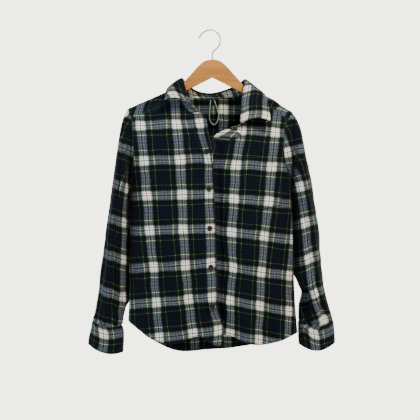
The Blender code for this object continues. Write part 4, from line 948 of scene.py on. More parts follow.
def yoke_panel():
    """The yoke, from the back seam over the shoulders to the neckline and the front seams."""
    neck_x = read(NECK, "station", "x", YOKE_NECK)
    neck_drop = read(NECK, "station", "drop", YOKE_NECK)
    right_top, left_top = front_right[0][::-1], front_left[0]
    shoulders = [right_top[:-1], left_top[1:]]
    top_x = np.concatenate([shoulders[0][:, 0], neck_x, shoulders[1][:, 0]])
    drops = [shoulder_z(points[:, 0]) - points[:, 2] for points in shoulders]
    top_drop = np.concatenate([drops[0], neck_drop, drops[1]])
    seam_x = back[0][:, 0]
    base_x = np.concatenate([
        np.interp(shoulders[0][:, 0], [right_top[0, 0], neck_x[0]], [seam_x[0], -NECK_SPREAD]),
        np.interp(YOKE_NECK, [YOKE_NECK[0], 4.0, 7.0, 10.0, YOKE_NECK[-1]],
                  NECK_SPREAD * np.array([-1.0, -0.83, 0.03, 0.91, 1.03])),
        np.interp(shoulders[1][:, 0], [neck_x[-1], left_top[-1, 0]], [NECK_SPREAD, seam_x[-1]])])
    base_drop = -(shoulder_z(base_x) - BACK_SEAM_Z)
    behind = np.clip(-top_drop / 0.030, 0.0, 1.0) ** 1.3
    middle_drop = np.minimum(top_drop, 0.0) + (base_drop - top_drop) * 0.3 * behind
    middle_x = base_x + (top_x - base_x) * 0.7
    grid = []
    # Steps up the back from 0 to 1, then over the shoulders to the front seams at 2.
    for step in (0.0, 0.28, 0.52, 0.74, 0.90, 0.97, 1.0, 1.15, 1.45, 2.0):
        if step <= 1:
            x = base_x + (middle_x - base_x) * step
            drop = base_drop + (middle_drop - base_drop) * step
        else:
            x = middle_x + (top_x - middle_x) * (step - 1)
            drop = middle_drop + (top_drop - middle_drop) * (step - 1)
        for column, side in ((0, "right_x"), (-1, "left_x")):
            x[column] = read(YOKE_SIDE, "drop", side, drop[column])
        z = shoulder_z(x) - np.abs(drop)
        front, rear = body_point(x, z, -1, folded=False), body_point(x, z, 1, folded=False)
        grid.append(np.where((drop > 0)[:, None], front, rear))
    grid[-1][:len(right_top)] = right_top
    grid[-1][-len(left_top):] = left_top
    return np.array(grid)


yoke = yoke_panel()
fine_yoke = finer(yoke, 6, 4)
# The plaid matches the fronts at their seams and turns over the shoulders to the back's grain.
x, y, z = fine_yoke[..., 0], fine_yoke[..., 1], fine_yoke[..., 2]
crest = shoulder_z(x)
behind = np.sign(y) * (crest - z)
turned = ease((behind + 0.030) / 0.085)
# front_white is the level of the fronts' uppermost white stripe.
front_white = np.interp(x, [-0.200, -0.094, 0.085, 0.200], [-0.1530, -0.1520, -0.1680, -0.1735])
front_grain = np.stack([(x + 0.0940) / 0.0895, (front_white - crest - behind) / REPEAT], axis=-1)
back_grain = np.stack([(x - 0.0325) / REPEAT + 1, (crest - behind + 0.1976) / REPEAT], axis=-1)
yoke_places = front_grain + (back_grain - front_grain) * turned[..., None]
calm = ease(edge_distance(fine_yoke, ALL_EDGES) / 0.020)
fine_yoke = raised(fine_yoke, rumpled(yoke_places, seed=6.0, strength=0.6) * calm, -1)
piece = cloth("yoke", fine_yoke, yoke_places, felled, ALL_EDGES, flip=True)

# ---------------------------------------------------------------- placket and button stand
# Two straight bands of the same flannel, folded double and stitched along both edges: the
# placket on the right front with its white stripe centred, the stand for the buttons under it.
ON_PANEL = CLOTH + GAP
OPEN_Z = -0.286         # above it the button stand isn't under the placket
WHITE_SPREAD = 1.12     # the placket's stripes stand this much closer
banded = flannel("plaid_flannel_band", (0.0030,))


def edge_band(panel, below_neck):
    """A band along a front's inner edge, over its first three columns, from below the neckline."""
    corner = len(RIGHT_NECK) - 1
    top = np.array([panel[corner, 0], panel[corner - 1, 0], panel[corner - 2, 0]])
    below = np.array([(panel[corner, 0] + panel[corner + 1, 0]) / 2, panel[corner, 1], panel[corner, 2]])
    top = top + (below - top) * below_neck
    return np.array([top, below] + list(panel[corner + 1:, :3]))


def moved_out(points, distance):
    """A grid of points on a front, moved out of the body along its normals."""
    outward = normals(points)
    return points - outward * np.sign(outward[..., 1:2]) * distance


def sewn_band(name, panel, below_neck, side):
    """A fine band on its front; the placket's white stripe is centred across it."""
    fine = finer(edge_band(panel, below_neck), 8, 5)
    fine = body_point(fine[..., 0], fine[..., 2], -1)
    if side > 0:
        fine = under_front(fine)
        places = on_grain(fine, LEFT_CHECKS)
        # Where the neck is open, the stand turns out and its stripes run along the turned edge.
        open_part = ease((fine[..., 2] - OPEN_Z) / 0.014)
        places[..., 1] -= 0.1 * open_part
        places[..., 0] += ((run_length(fine) + 0.003) / REPEAT - places[..., 0]) * open_part
    else:
        places = on_grain(fine, RIGHT_CHECKS)
        across = run_length(fine)
        places[..., 0] = (across - across[:, -1:] * 0.5) / REPEAT * WHITE_SPREAD
    fine = moved_out(fine, ON_PANEL)
    sewn = "left bottom" if side > 0 else "left right bottom"
    piece = cloth(name, fine, places, banded, sewn, "flannel_placket", wall=BAND, flip=side > 0)


sewn_band("placket_band", front_right, below_neck=0.3, side=-1)
sewn_band("button_band", front_left, below_neck=0.75, side=1)

# ---------------------------------------------------------------- the chest pocket
# A five-sided patch cut to match the left front's plaid line for line, its top folded over
# and stitched, its sides and point edge-stitched.
POCKET = {"left": 0.081, "right": 0.174, "top": -0.323, "bottom": -0.440, "point": 0.012, "slack": 0.0026}
patched = flannel("plaid_flannel_patch", (0.0016,))
across = np.linspace(0, 1, 61)
down = np.linspace(0, 1, 73)[:, None]
pocket_x = POCKET["left"] + (POCKET["right"] - POCKET["left"]) * across
foot = POCKET["bottom"] - POCKET["point"] * (1 - abs(2 * across - 1))
pocket_z = POCKET["top"] + (foot - POCKET["top"]) * down
pocket = under_front(body_point(pocket_x + 0 * pocket_z, pocket_z, -1))
places = on_grain(pocket, LEFT_CHECKS)
places = places - places[0, 0] + left_places.reshape(-1, 2)[
    np.argmin(np.linalg.norm(fine_left.reshape(-1, 3) - pocket[0, 0], axis=1))]
pocket = raised(pocket, rumpled(places, seed=9.0), 1)
slack = POCKET["slack"] * np.sin(across * math.pi) * (1 - down) ** 3
pocket = moved_out(pocket, (ON_PANEL + 0.0006 + slack)[..., None])
piece = cloth("chest_pocket", pocket, places, patched, ALL_EDGES, wall=BAND, flip=True)

# ---------------------------------------------------------------- the sleeves
# Each is one piece, seamed under the arm, set into its armhole and gathered into its cuff in
# small pleats. Hanging free they break into long creases and soft folds at the elbow.

RING_ROWS = 8           # fine rows from one ring to the next
LAST_RING = 18          # at the cuff's seam
TUCK_IN = 0.0100        # how far the inner edge is tucked in behind the side seam
TUCK_BACK = 0.0290      # how far back it is tucked
BULGE = 0.0035          # how far the cloth in front of the tuck stands out
GROOVE = 0.0110         # how deep the cloth is drawn in beside the armhole's seam
# Rings across each sleeve: its outer and inner side, how far it reaches to front and back, and
# how far its front dips and its back rises.
RING_COLUMNS = "ring outer_x outer_z inner_x inner_z front back dip"
SLEEVE_RIGHT = table(
    RING_COLUMNS,
    (2, -0.2140, -0.2085, -0.2085, -0.3910, 0.030, 0.034, 0.000),
    (3, -0.2190, -0.2180, -0.2090, -0.3945, 0.032, 0.037, 0.000),
    (4, -0.2235, -0.2330, -0.2093, -0.3980, 0.040, 0.042, 0.000),
    (5, -0.2280, -0.2560, -0.2093, -0.4030, 0.049, 0.048, 0.000),
    (6, -0.2325, -0.2880, -0.2093, -0.4095, 0.056, 0.054, 0.000),
    (7, -0.2385, -0.3280, -0.2092, -0.4190, 0.060, 0.058, 0.000),
    (8, -0.2445, -0.3720, -0.2090, -0.4330, 0.061, 0.060, 0.000),
    (9, -0.2520, -0.4210, -0.2090, -0.4550, 0.059, 0.059, 0.001),
    (10, -0.2590, -0.4690, -0.2092, -0.4860, 0.055, 0.056, 0.002),
    (11, -0.2650, -0.5150, -0.2095, -0.5240, 0.052, 0.053, 0.003),
    (12, -0.2705, -0.5590, -0.2098, -0.5660, 0.049, 0.050, 0.004),
    (13, -0.2757, -0.6000, -0.2103, -0.6070, 0.047, 0.047, 0.005),
    (14, -0.2810, -0.6380, -0.2118, -0.6460, 0.044, 0.045, 0.006),
    (15, -0.2862, -0.6740, -0.2150, -0.6830, 0.040, 0.042, 0.007),
    (16, -0.2912, -0.7030, -0.2215, -0.7140, 0.035, 0.037, 0.008),
    (17, -0.2950, -0.7230, -0.2270, -0.7350, 0.032, 0.033, 0.008),
    (18, -0.2972, -0.7315, -0.2292, -0.7440, 0.029, 0.030, 0.008),
)
SLEEVE_LEFT = table(
    RING_COLUMNS,
    (2, 0.2080, -0.2140, 0.2065, -0.3905, 0.033, 0.034, 0.000),
    (3, 0.2135, -0.2215, 0.2070, -0.3940, 0.032, 0.036, 0.000),
    (4, 0.2195, -0.2330, 0.2075, -0.3975, 0.037, 0.041, 0.000),
    (5, 0.2270, -0.2540, 0.2080, -0.4025, 0.047, 0.047, 0.000),
    (6, 0.2330, -0.2860, 0.2085, -0.4090, 0.055, 0.053, 0.000),
    (7, 0.2400, -0.3260, 0.2090, -0.4185, 0.060, 0.057, 0.000),
    (8, 0.2485, -0.3700, 0.2095, -0.4325, 0.061, 0.060, 0.000),
    (9, 0.2570, -0.4190, 0.2100, -0.4545, 0.059, 0.059, 0.001),
    (10, 0.2645, -0.4670, 0.2105, -0.4860, 0.056, 0.056, 0.002),
    (11, 0.2700, -0.5130, 0.2112, -0.5240, 0.053, 0.052, 0.003),
    (12, 0.2735, -0.5560, 0.2122, -0.5660, 0.052, 0.048, 0.004),
    (13, 0.2775, -0.5970, 0.2140, -0.6050, 0.052, 0.044, 0.005),
    (14, 0.2820, -0.6340, 0.2195, -0.6360, 0.050, 0.040, 0.007),
    (15, 0.2885, -0.6640, 0.2290, -0.6610, 0.044, 0.038, 0.009),
    (16, 0.2960, -0.6950, 0.2235, -0.6930, 0.040, 0.038, 0.012),
    (17, 0.3030, -0.7200, 0.2235, -0.7220, 0.036, 0.036, 0.013),
    (18, 0.3055, -0.7300, 0.2235, -0.7340, 0.031, 0.032, 0.014),
)
# Creases from ring a to ring b: their angle round the sleeve from its outer side, in degrees,
# at both ends, their width in degrees and their depth (minus stands out), the longest first.
SLEEVE_CREASES = table(
    "body ring_a ring_b angle_a angle_b width depth",
    (-1, 3.5, 17.8, 66, 106, 13, 0.0135),
    (-1, 7.5, 17.5, 34, 40, 12, 0.0062),
    (-1, 7.0, 17.0, -95, -120, 20, 0.0080),
    (-1, 9.0, 17.5, -50, -40, 14, 0.0050),
    (1, 8.5, 17.5, 100, 56, 14, 0.0095),
    (1, 13.5, 19.5, 138, 132, 32, 0.0170),
    (1, 7.0, 17.0, -90, -115, 20, 0.0080),
    (1, 10.0, 17.5, -45, -50, 14, 0.0050),
    (-1, 2.5, 9.0, 52, 96, 9, 0.0034),
    (-1, 9.5, 12.5, 22, 78, 8, -0.0032),
    (-1, 11.0, 14.5, 122, 62, 9, 0.0034),
    (-1, 13.0, 16.5, 142, 96, 9, -0.0032),
    (-1, 10.2, 13.0, 150, 98, 8, -0.0030),
    (-1, 14.8, 18.3, 60, 70, 7, 0.0036),
    (-1, 15.2, 18.3, 92, 88, 6, 0.0030),
    (-1, 15.6, 18.3, 28, 36, 7, 0.0030),
    (-1, 10.0, 14.0, -20, -70, 9, -0.0035),
    (-1, 12.0, 16.0, -140, -90, 9, 0.0035),
    (1, 2.5, 8.5, 112, 70, 9, 0.0034),
    (1, 6.5, 11.0, 142, 98, 9, -0.0030),
    (1, 11.5, 14.5, 38, 98, 8, -0.0034),
    (1, 13.0, 16.5, 16, 62, 8, 0.0032),
    (1, 9.8, 12.8, 20, 66, 8, -0.0026),
    (1, 14.8, 18.3, 62, 68, 7, 0.0034),
    (1, 15.3, 18.3, 100, 94, 6, 0.0032),
    (1, 15.6, 18.3, 30, 36, 7, 0.0030),
    (1, 10.0, 14.0, -20, -72, 9, -0.0035),
    (1, 12.0, 16.0, -142, -92, 9, 0.0035),
)
PLEATS = 7              # round a sleeve at its cuff
FINE_PLEATS = 19        # finer, uneven ones over them
# The level of each white stripe across the sleeves, how far it tilts there, and where the
# stripes down the sleeve begin at its outer side, in repeats.
BANDS_RIGHT = table(
    "z tilt stripe",
    (-0.1200, -0.20, 0.04), (-0.2040, -0.25, 0.04), (-0.2948, -0.34, 0.04), (-0.3908, -0.38, 0.04),
    (-0.4798, -0.38, 0.04), (-0.5735, -0.38, 0.04), (-0.6685, -0.33, 0.04), (-0.7548, -0.28, 0.04),
    (-0.8430, -0.28, 0.04),
)
BANDS_LEFT = table(
    "z tilt stripe",
    (-0.1200, 0.15, 0.10), (-0.2085, 0.18, 0.10), (-0.2985, 0.22, 0.10), (-0.3908, 0.26, 0.12),
    (-0.4840, 0.32, 0.19), (-0.5780, 0.38, 0.27), (-0.6720, 0.42, 0.32), (-0.7485, 0.42, 0.55),
    (-0.8350, 0.42, 0.55),
)


def ring_points(sections, ring, angles):
    """Points round one section; angle 0 is its outer side, 90 degrees its front."""
    outer, inner = (np.array([read(sections, "ring", f"{end}_x", ring), 0.0,
                              read(sections, "ring", f"{end}_z", ring)])
                    for end in ("outer", "inner"))
    front, rear, dip = (float(read(sections, "ring", name, ring)) for name in ("front", "back", "dip"))
    cos, sin = np.cos(angles), np.sin(angles)
    points = (outer + inner) / 2 + cos[:, None] * (outer - inner) / 2
    depth = np.where(sin > 0, front, rear)
    # The section tapers towards its inner side.
    power = np.where(cos < 0, 0.92 + 0.50 * np.abs(cos) ** 0.5, 0.92)
    points[:, 1] -= depth * np.sign(sin) * np.abs(sin) ** power
    points[:, 2] -= dip * np.sign(sin) * sin ** 2
    return points


def crease_depth(rings, angles, body):
    """How far creases and pleats push a sleeve's points in, ring by ring."""
    total = np.zeros((len(rings), len(angles)))
    for crease in rows_with(SLEEVE_CREASES, "body", body):
        t = ((rings - crease["ring_a"]) / (crease["ring_b"] - crease["ring_a"]))[:, None]
        centre = np.radians(crease["angle_a"] + t * (crease["angle_b"] - crease["angle_a"]))
        fade = ease(t / 0.25) * ease((1.0 - t) / 0.2)
        off = np.angle(np.exp(1j * (angles - centre))) / math.radians(crease["width"])
        total = total + crease["depth"] * fade * np.exp(-off ** 2)
    # Pleats gather the sleeve into its cuff.
    gather = 0.0025 * ease((rings - 15.5) / 1.5) * ease((18 - rings) / 0.8)
    small = 0.0012 * ease((rings - 16.2) / 1.2) * ease((18.05 - rings) / 0.4)
    return (total + gather[:, None] * np.cos(PLEATS * angles)
            + small[:, None] * np.cos(FINE_PLEATS * angles + 2.0 * np.sin(3 * angles)))


def armhole_loop(front, side):
    """The armhole's points from the underarm up the front and down the back, closed."""
    seam = np.concatenate([front[UNDERARM_ROW::-1, -1], yoke[-2::-1, side],
                           back[1:len(BACK_ARMHOLE["z"]) - 1, side]])
    # Three more points at each end make the curve close smoothly.
    count = 5
    wrapped = curve_through(np.concatenate([seam[-3:], seam, seam[:3]]), count)
    return wrapped[3 * count:(3 + len(seam)) * count + 1]


def beside_body(plain, rings, angles, body, parts_z, groove_ring):
    """A sleeve's points as it hangs beside the body; also how closely each lies against it.

    Down to parts_z its inner side lies against the side seam, its edge tucked in and back behind
    it, with a slight bulge in front. At groove_ring it is drawn in beside the armhole's seam.
    """
    fine = plain.copy()
    close = ease((plain[:, 0, 2] - parts_z) / 0.045) * ease((rings - 1.0) / 0.8)
    edge_x = read(TORSO, "z", "left" if body < 0 else "right", plain[:, 0, 2])
    reach = edge_x + body * (2 * CLOTH + 0.0010) - plain[:, 0, 0]
    inner = ((1 - np.cos(angles)) / 2) ** 3
    turn = math.pi - np.abs(angles)
    fine[..., 0] += (reach * close)[:, None] * inner
    fine[..., 0] -= body * TUCK_IN * close[:, None] * np.exp(-((turn / 0.22) ** 2))
    fine[..., 0] += body * BULGE * close[:, None] * np.exp(-(((turn - 0.65) / 0.28) ** 2))
    fine[..., 1] += TUCK_BACK * close[:, None] * np.exp(-((turn / 0.92) ** 2))
    groove = np.exp(-(((rings - groove_ring) / 0.40) ** 2)) * ease((rings - 1.0) / 0.35)
    fine[..., 1] += GROOVE * groove[:, None] * np.sign(np.sin(angles)) * np.abs(np.sin(angles)) ** 0.7
    return fine, close[:, None] * inner


def sleeve_grain(fine, plain, rings, angles, sections, bands, body):
    """Where a sleeve's points lie on the plaid, in repeats.

    The stripes down it count from its top line: round the arm lower down, and on the cap from
    its outer side and by depth, which keeps them upright over the shoulder.
    """
    top = int(np.argmin(np.abs(angles)))
    around = run_length(plain[..., :2])
    around = np.abs(around - around[:, top:top + 1])
    outer_x = np.interp(-fine[..., 2], -sections["outer_z"], abs(sections["outer_x"]))
    deep = run_length(plain[..., 1:2])
    deep = np.abs(deep - deep[:, top:top + 1])
    cap = (outer_x - np.abs(plain[..., 0])) * 1.35 + deep * 0.55
    around = (cap + (around - cap) * ease((rings - 4.5) / 8.0)[:, None]) * np.sign(-body * angles)
    elbow = 8
    middle = (sections["outer_x"][elbow] + sections["inner_x"][elbow]) / 2
    tilt = read(bands, "z", "tilt", fine[..., 2])
    level = fine[..., 2] - tilt * (fine[..., 0] - middle)
    v = np.interp(-level, -bands["z"], np.arange(len(bands["z"])) - 1)
    u = read(bands, "z", "stripe", level) - around / REPEAT
    return np.stack([u, v], axis=-1)


def set_in_sleeve(name, sections, loop, body, seed, parts_z, bands, groove_ring):
    """A fine sleeve from its armhole to its cuff, with its points' angles and places."""
    reach = run_length(loop, axis=0)
    top = int(np.argmax(loop[:, 2]))
    angles = np.where(np.arange(len(loop)) <= top, math.pi * (1 - reach / reach[top]),
                      -math.pi * (reach - reach[top]) / (reach[-1] - reach[top]))
    rows = [loop] + [ring_points(sections, ring, angles) for ring in range(2, LAST_RING + 1)]
    plain = curve_through(np.array(rows), RING_ROWS)
    rings = 1 + np.arange(len(plain)) / RING_ROWS
    fine, close = beside_body(plain, rings, angles, body, parts_z, groove_ring)
    places = sleeve_grain(fine, plain, rings, angles, sections, bands, body)
    inward = crease_depth(rings, angles, body)
    centre = fine.mean(axis=1, keepdims=True)
    fine = fine + unit(centre - fine) * inward[..., None]
    calm = ease((rings - 1.0) / 2.2)[:, None] * ease((LAST_RING - rings) / 1.2)[:, None]
    calm = calm * ease((math.pi - np.abs(angles)) / 0.25) * (1 - 0.9 * close)
    heights = rumpled(places, seed, 1.25) * calm
    fine = fine + unit(fine - centre) * heights[..., None]
    piece = cloth(name, fine, places, felled, ALL_EDGES, flip=body > 0, tube=True)
    return fine, angles, places


sleeve_right, right_angles, right_sleeve_places = set_in_sleeve(
    "sleeve_right", SLEEVE_RIGHT, armhole_loop(front_right, 0), body=-1, seed=21.0,
    parts_z=-0.705, bands=BANDS_RIGHT, groove_ring=1.5)
sleeve_left, left_angles, left_sleeve_places = set_in_sleeve(
    "sleeve_left", SLEEVE_LEFT, armhole_loop(front_left, -1), body=1, seed=27.0,
    parts_z=-0.635, bands=BANDS_LEFT, groove_ring=1.95)

# ---------------------------------------------------------------- the cuffs
# Straight doubled bands round the wrists, lapped at the back and open at the foot, with
# topstitching along every edge.
CUFF_RIGHT = table(
    RING_COLUMNS,
    (0, -0.2972, -0.7315, -0.2292, -0.7440, 0.0290, 0.0300, 0.008),
    (1, -0.3020, -0.7500, -0.2235, -0.7640, 0.0275, 0.0280, 0.009),
    (2, -0.3065, -0.7710, -0.2225, -0.7880, 0.0255, 0.0260, 0.010),
    (3, -0.3098, -0.7905, -0.2250, -0.8120, 0.0245, 0.0245, 0.011),
)
CUFF_LEFT = table(
    RING_COLUMNS,
    (0, 0.3055, -0.7300, 0.2235, -0.7340, 0.0310, 0.0320, 0.014),
    (1, 0.3090, -0.7480, 0.2240, -0.7520, 0.0290, 0.0300, 0.015),
    (2, 0.3112, -0.7670, 0.2248, -0.7720, 0.0265, 0.0280, 0.016),
    (3, 0.3115, -0.7860, 0.2260, -0.7920, 0.0250, 0.0260, 0.017),
)
CUFF_OPENING = {-1: math.radians(-118), 1: math.radians(-122)}
LAP = 15                # points of a cuff's ring by which its ends lap
cuffed = flannel("plaid_flannel_cuff", (0.0022, 0.0080))


def cuff(name, sections, sleeve, angles, body, seed, corner):
    """A cuff wrapped round the wrist, its ends lapped; its head follows the sleeve's last ring."""
    ring_angles = angles[:-1]
    count = len(ring_angles)
    start = int(np.argmin(np.abs(ring_angles - CUFF_OPENING[body])))
    around = (start + np.arange(count + LAP)) % count
    lap = ease((np.arange(len(around)) - count + LAP) / LAP) * (CLOTH + GAP * 3)
    rings = [sleeve[-1][:-1]] + [ring_points(sections, ring, ring_angles) for ring in (0.5, 1, 2, 3)]
    grid = np.array(rings)[:, around]
    fine = curve_through(grid, 9)
    fine[..., 2] -= 0.0006
    away = unit(fine - fine[:, :count].mean(axis=1, keepdims=True)) * (1.0, 1.0, 0.3)
    along = run_length(fine)
    down = run_length(fine, axis=0)
    places = np.stack([corner[0] - body * along / REPEAT, corner[1] + down / REPEAT], axis=-1)
    soft = rumpled(places, seed, 0.75) * ease(down / 0.010)
    proud = 0.0007 * np.exp(-((down - 0.004) / 0.004) ** 2)
    fine = fine + away * (lap + soft + proud)[..., None]
    piece = cloth(name, fine, places, cuffed, ALL_EDGES, flip=body > 0)
    return fine


# A corner is the plaid's place where a cuff begins.
cuff_right = cuff("cuff_right", CUFF_RIGHT, sleeve_right, right_angles, body=-1, seed=33.0,
                  corner=(0.97, 0.79))
cuff_left = cuff("cuff_left", CUFF_LEFT, sleeve_left, left_angles, body=1, seed=37.0,
                 corner=(0.93, 0.76))


def sleeve_placket(name, sleeve, angles, places, body):
    """The narrow placket above a cuff's opening, laid on the back of the sleeve."""
    rows = slice(int((14.9 - 1) * RING_ROWS), int((17.6 - 1) * RING_ROWS) + 1)
    picked = np.argsort(np.abs(np.angle(np.exp(1j * (angles[:-1] - CUFF_OPENING[body])))))[:9]
    picked = np.sort(picked)
    strip = sleeve[rows][:, picked[0]:picked[-1] + 1]
    centre = sleeve[rows].mean(axis=1, keepdims=True)
    strip = strip + unit(strip - centre) * (ON_PANEL + 0.0012)
    grain = places[rows][:, picked[0]:picked[-1] + 1] + (0.31, 0.0)
    piece = cloth(name, strip, grain, banded, "left right top", "flannel_placket", wall=BAND,
                  flip=body > 0)


sleeve_placket("sleeve_placket_right", sleeve_right, right_angles, right_sleeve_places, -1)
sleeve_placket("sleeve_placket_left", sleeve_left, left_angles, left_sleeve_places, 1)

# ---------------------------------------------------------------- the collar
# A stand round the neckline and a leaf turned down over it, both doubled and topstitched. The
# right point lies flat, the left one is pushed out and down.
STAND_STATIONS = sorted(RIGHT_NECK) + YOKE_NECK[1:-1] + LEFT_NECK
LEAF_STATIONS = [station for station in STAND_STATIONS if 1.0 <= station <= 13.0]
LEAF_SEAM = 0.0045      # from the seam between stand and leaf up to the fold
LEAF_ROLL = 0.0028      # radius of the fold
LEAF_FROM_FOLD = (-0.020, 0.0076, 0.021, 0.032, 0.061, 0.1495)
LEAF_STRIPES = (-0.31, 0.0, 0.288, 0.712, 1.0, 2.0)     # the left leaf's, at those distances
topstitched = flannel("plaid_flannel_collar", (0.0055,))


def neck_column(name, stations):
    """Points of the collar's fold or edge at the given stations."""
    return np.stack([read(NECK, "station", f"{name}_{axis}", stations) for axis in "xyz"], axis=-1)


# The stand rises from the neckline to just under the fold.
seam = neck_seam(STAND_STATIONS)
fold = neck_column("fold", STAND_STATIONS)
up = unit(fold - seam)
stand = np.array([seam + (fold - up * LEAF_SEAM - seam) * step for step in (0.0, 0.33, 0.66, 1.0)])
fine_stand = finer(stand, 7, 4)
along = run_length(fine_stand)
down = run_length(fine_stand, axis=0)
# A white stripe crosses the stand inside the back.
check = int(np.argmin(np.abs(fine_stand[0, :, 0] - 0.0482) + (fine_stand[0, :, 1] < 0)))
places = np.stack([(along - along[:, check:check + 1]) / REPEAT,
                   (down - down[-1:] * 0.5) / REPEAT], axis=-1)
fine_stand = raised(fine_stand, rumpled(places, seed=41.0, strength=0.35), -1)
piece = cloth("collar_stand", fine_stand, places, topstitched, ALL_EDGES, flip=True)

# The leaf rises from its seam with the stand, rolls over the fold and arches down to its edge.
seam = neck_seam(LEAF_STATIONS)
fold = neck_column("fold", LEAF_STATIONS)
edge = neck_column("edge", LEAF_STATIONS)
arch = read(NECK, "station", "arch", LEAF_STATIONS)
up = unit(fold - seam)
away = edge - fold
away = unit(away - (away * up).sum(-1, keepdims=True) * up)
middle = fold + (away - up) * LEAF_ROLL
rows = [fold - up * (LEAF_SEAM - GAP)]
for turn in np.radians([0, 40, 80, 120, 150]):
    rows.append(middle + (up * math.sin(turn) - away * math.cos(turn)) * LEAF_ROLL)
start = rows[-1]
for step in (0.14, 0.28, 0.42, 0.56, 0.70, 0.85, 1.0):
    bow = 4 * step * (1 - step)
    rows.append(start + (edge - start) * step + np.array([0.0, 0.0, 1.0]) * (arch * bow)[:, None])
leaf = finer(np.array(rows), 4, 4)
along = run_length(leaf)
down = run_length(leaf, axis=0)
# Whole repeats fit between the white stripes along both points.
whites = along[:, -1:] - 0.019
u = (along - 0.008) / whites * np.round(whites.mean() / REPEAT)
out = down - 0.009
left_v = np.interp(out, LEAF_FROM_FOLD, LEAF_STRIPES)
turned = ease((np.linspace(1.0, 13.0, along.shape[1]) - 5.0) / 4.0)
places = np.stack([u, (out - 0.035) / REPEAT * (1 - turned) + left_v * turned], axis=-1)
leaf = raised(leaf, rumpled(places, seed=45.0, strength=0.6) * ease((down - 0.010) / 0.02), -1)
piece = cloth("collar_leaf", leaf, places, topstitched, "left right bottom")

# ---------------------------------------------------------------- the hanging loop
# A soft woven cord, its two ends caught in the seam between yoke and stand.
loop_cord, shader, strand = finish("woven_cord", Specular_IOR_Level=0.2, Sheen_Weight=0.1)
place = strand.place()
laid = place.stretched(900.0, 900.0, 420.0).grain(1.0, 2.0, 0.6)
cream = laid.rise(0.35, 0.65).mix((0.07, 0.10, 0.065, 1.0), (0.21, 0.26, 0.17, 1.0))
dress(shader, Base_Color=cream, Roughness=0.7 + laid * 0.25, bump=laid, depth=0.0004)
# Its path, and how far it lies inside the back.
LOOP = table(
    "x z off",
    (-0.0010, -0.1740, 0.0022), (-0.0028, -0.1925, 0.0036), (-0.0043, -0.2130, 0.0040),
    (-0.0015, -0.2270, 0.0042), (0.0065, -0.2350, 0.0042), (0.0150, -0.2295, 0.0042),
    (0.0193, -0.2130, 0.0040), (0.0160, -0.1970, 0.0036), (0.0085, -0.1740, 0.0022),
)
CORD_RADIUS = 0.0014
loop_path = body_point(LOOP["x"], LOOP["z"], 1)
loop_path[:, 1] -= LOOP["off"]
loop_path = curve_through(loop_path, 8)
loop = round_cord("hang_loop", loop_path, CORD_RADIUS, loop_cord, "loop_cord", sides=3)
loop_length = float(run_length(loop_path, axis=0)[-1])

# ---------------------------------------------------------------- the buttons
# Turned dark horn with a raised rim and four holes, sewn on with crossed thread; each sits at
# the middle of an upright buttonhole worked in dark thread.

# The profile in shares of a button's radius and height.
BUTTON_PROFILE = table(
    "radius height",
    (0.00, 0.50), (0.40, 0.50), (0.56, 0.56), (0.68, 0.86), (0.78, 1.00), (0.88, 0.98),
    (0.96, 0.80), (1.00, 0.48), (0.97, 0.18), (0.86, 0.00), (0.00, 0.00),
)
BUTTON_HEIGHT = 0.0028
FRONT_BUTTON = 0.0066   # a front button's radius
SMALL_BUTTON = 0.0052   # the radius of the others
THREAD_LIFT = 0.0006    # how far a small button stands off on its thread
FRONT_LIFT = 0.0008     # how far a front button does
horn, shader, strand = finish("dark_horn", Specular_IOR_Level=0.10)
place = strand.place()
swirl = place.stretched(160.0, 160.0, 420.0).grain(1.0, 4.0, 0.6)
streaks = swirl.rise(0.38, 0.70).mix((0.0040, 0.0030, 0.0024, 1.0), (0.0240, 0.0150, 0.0095, 1.0))
dress(shader, Base_Color=streaks, Roughness=0.46 + swirl * 0.2)
thread, shader, strand = finish("dark_thread", Specular_IOR_Level=0.2)
place = strand.place()
twist = place.grain(3200.0, 2.0)
dress(shader, Base_Color=twist.mix((0.004, 0.005, 0.008, 1.0), (0.016, 0.018, 0.026, 1.0)),
      Roughness=0.7 + twist * 0.2)


def placed(bm, at, facing, up=(0.0, 0.0, 1.0)):
    """Turns a bmesh from lying on XY to lie at a spot, facing out, its Y axis upward."""
    facing = Vector(facing).normalized()
    side = Vector(up).cross(facing).normalized()
    turn = Matrix((side, facing.cross(side), facing)).transposed().to_4x4()
    bmesh.ops.transform(bm, matrix=Matrix.Translation(at) @ turn, verts=bm.verts)


def turned_piece(radii, heights, steps, closed=False):
    """A bmesh turned about Z from a profile, whose ends are joined where it is closed."""
    bm = bmesh.new()
    verts = [bm.verts.new((radius, 0.0, height)) for radius, height in zip(radii, heights)]
    edges = [bm.edges.new(pair) for pair in zip(verts, verts[1:] + verts[:1 if closed else 0])]
    bmesh.ops.spin(bm, geom=verts + edges, cent=(0, 0, 0), axis=(0, 0, 1), dvec=(0, 0, 0),
                   angle=2 * math.pi, steps=steps, use_merge=True)
    bmesh.ops.remove_doubles(bm, verts=bm.verts, dist=1e-6)
    bmesh.ops.recalc_face_normals(bm, faces=bm.faces)
    return bm


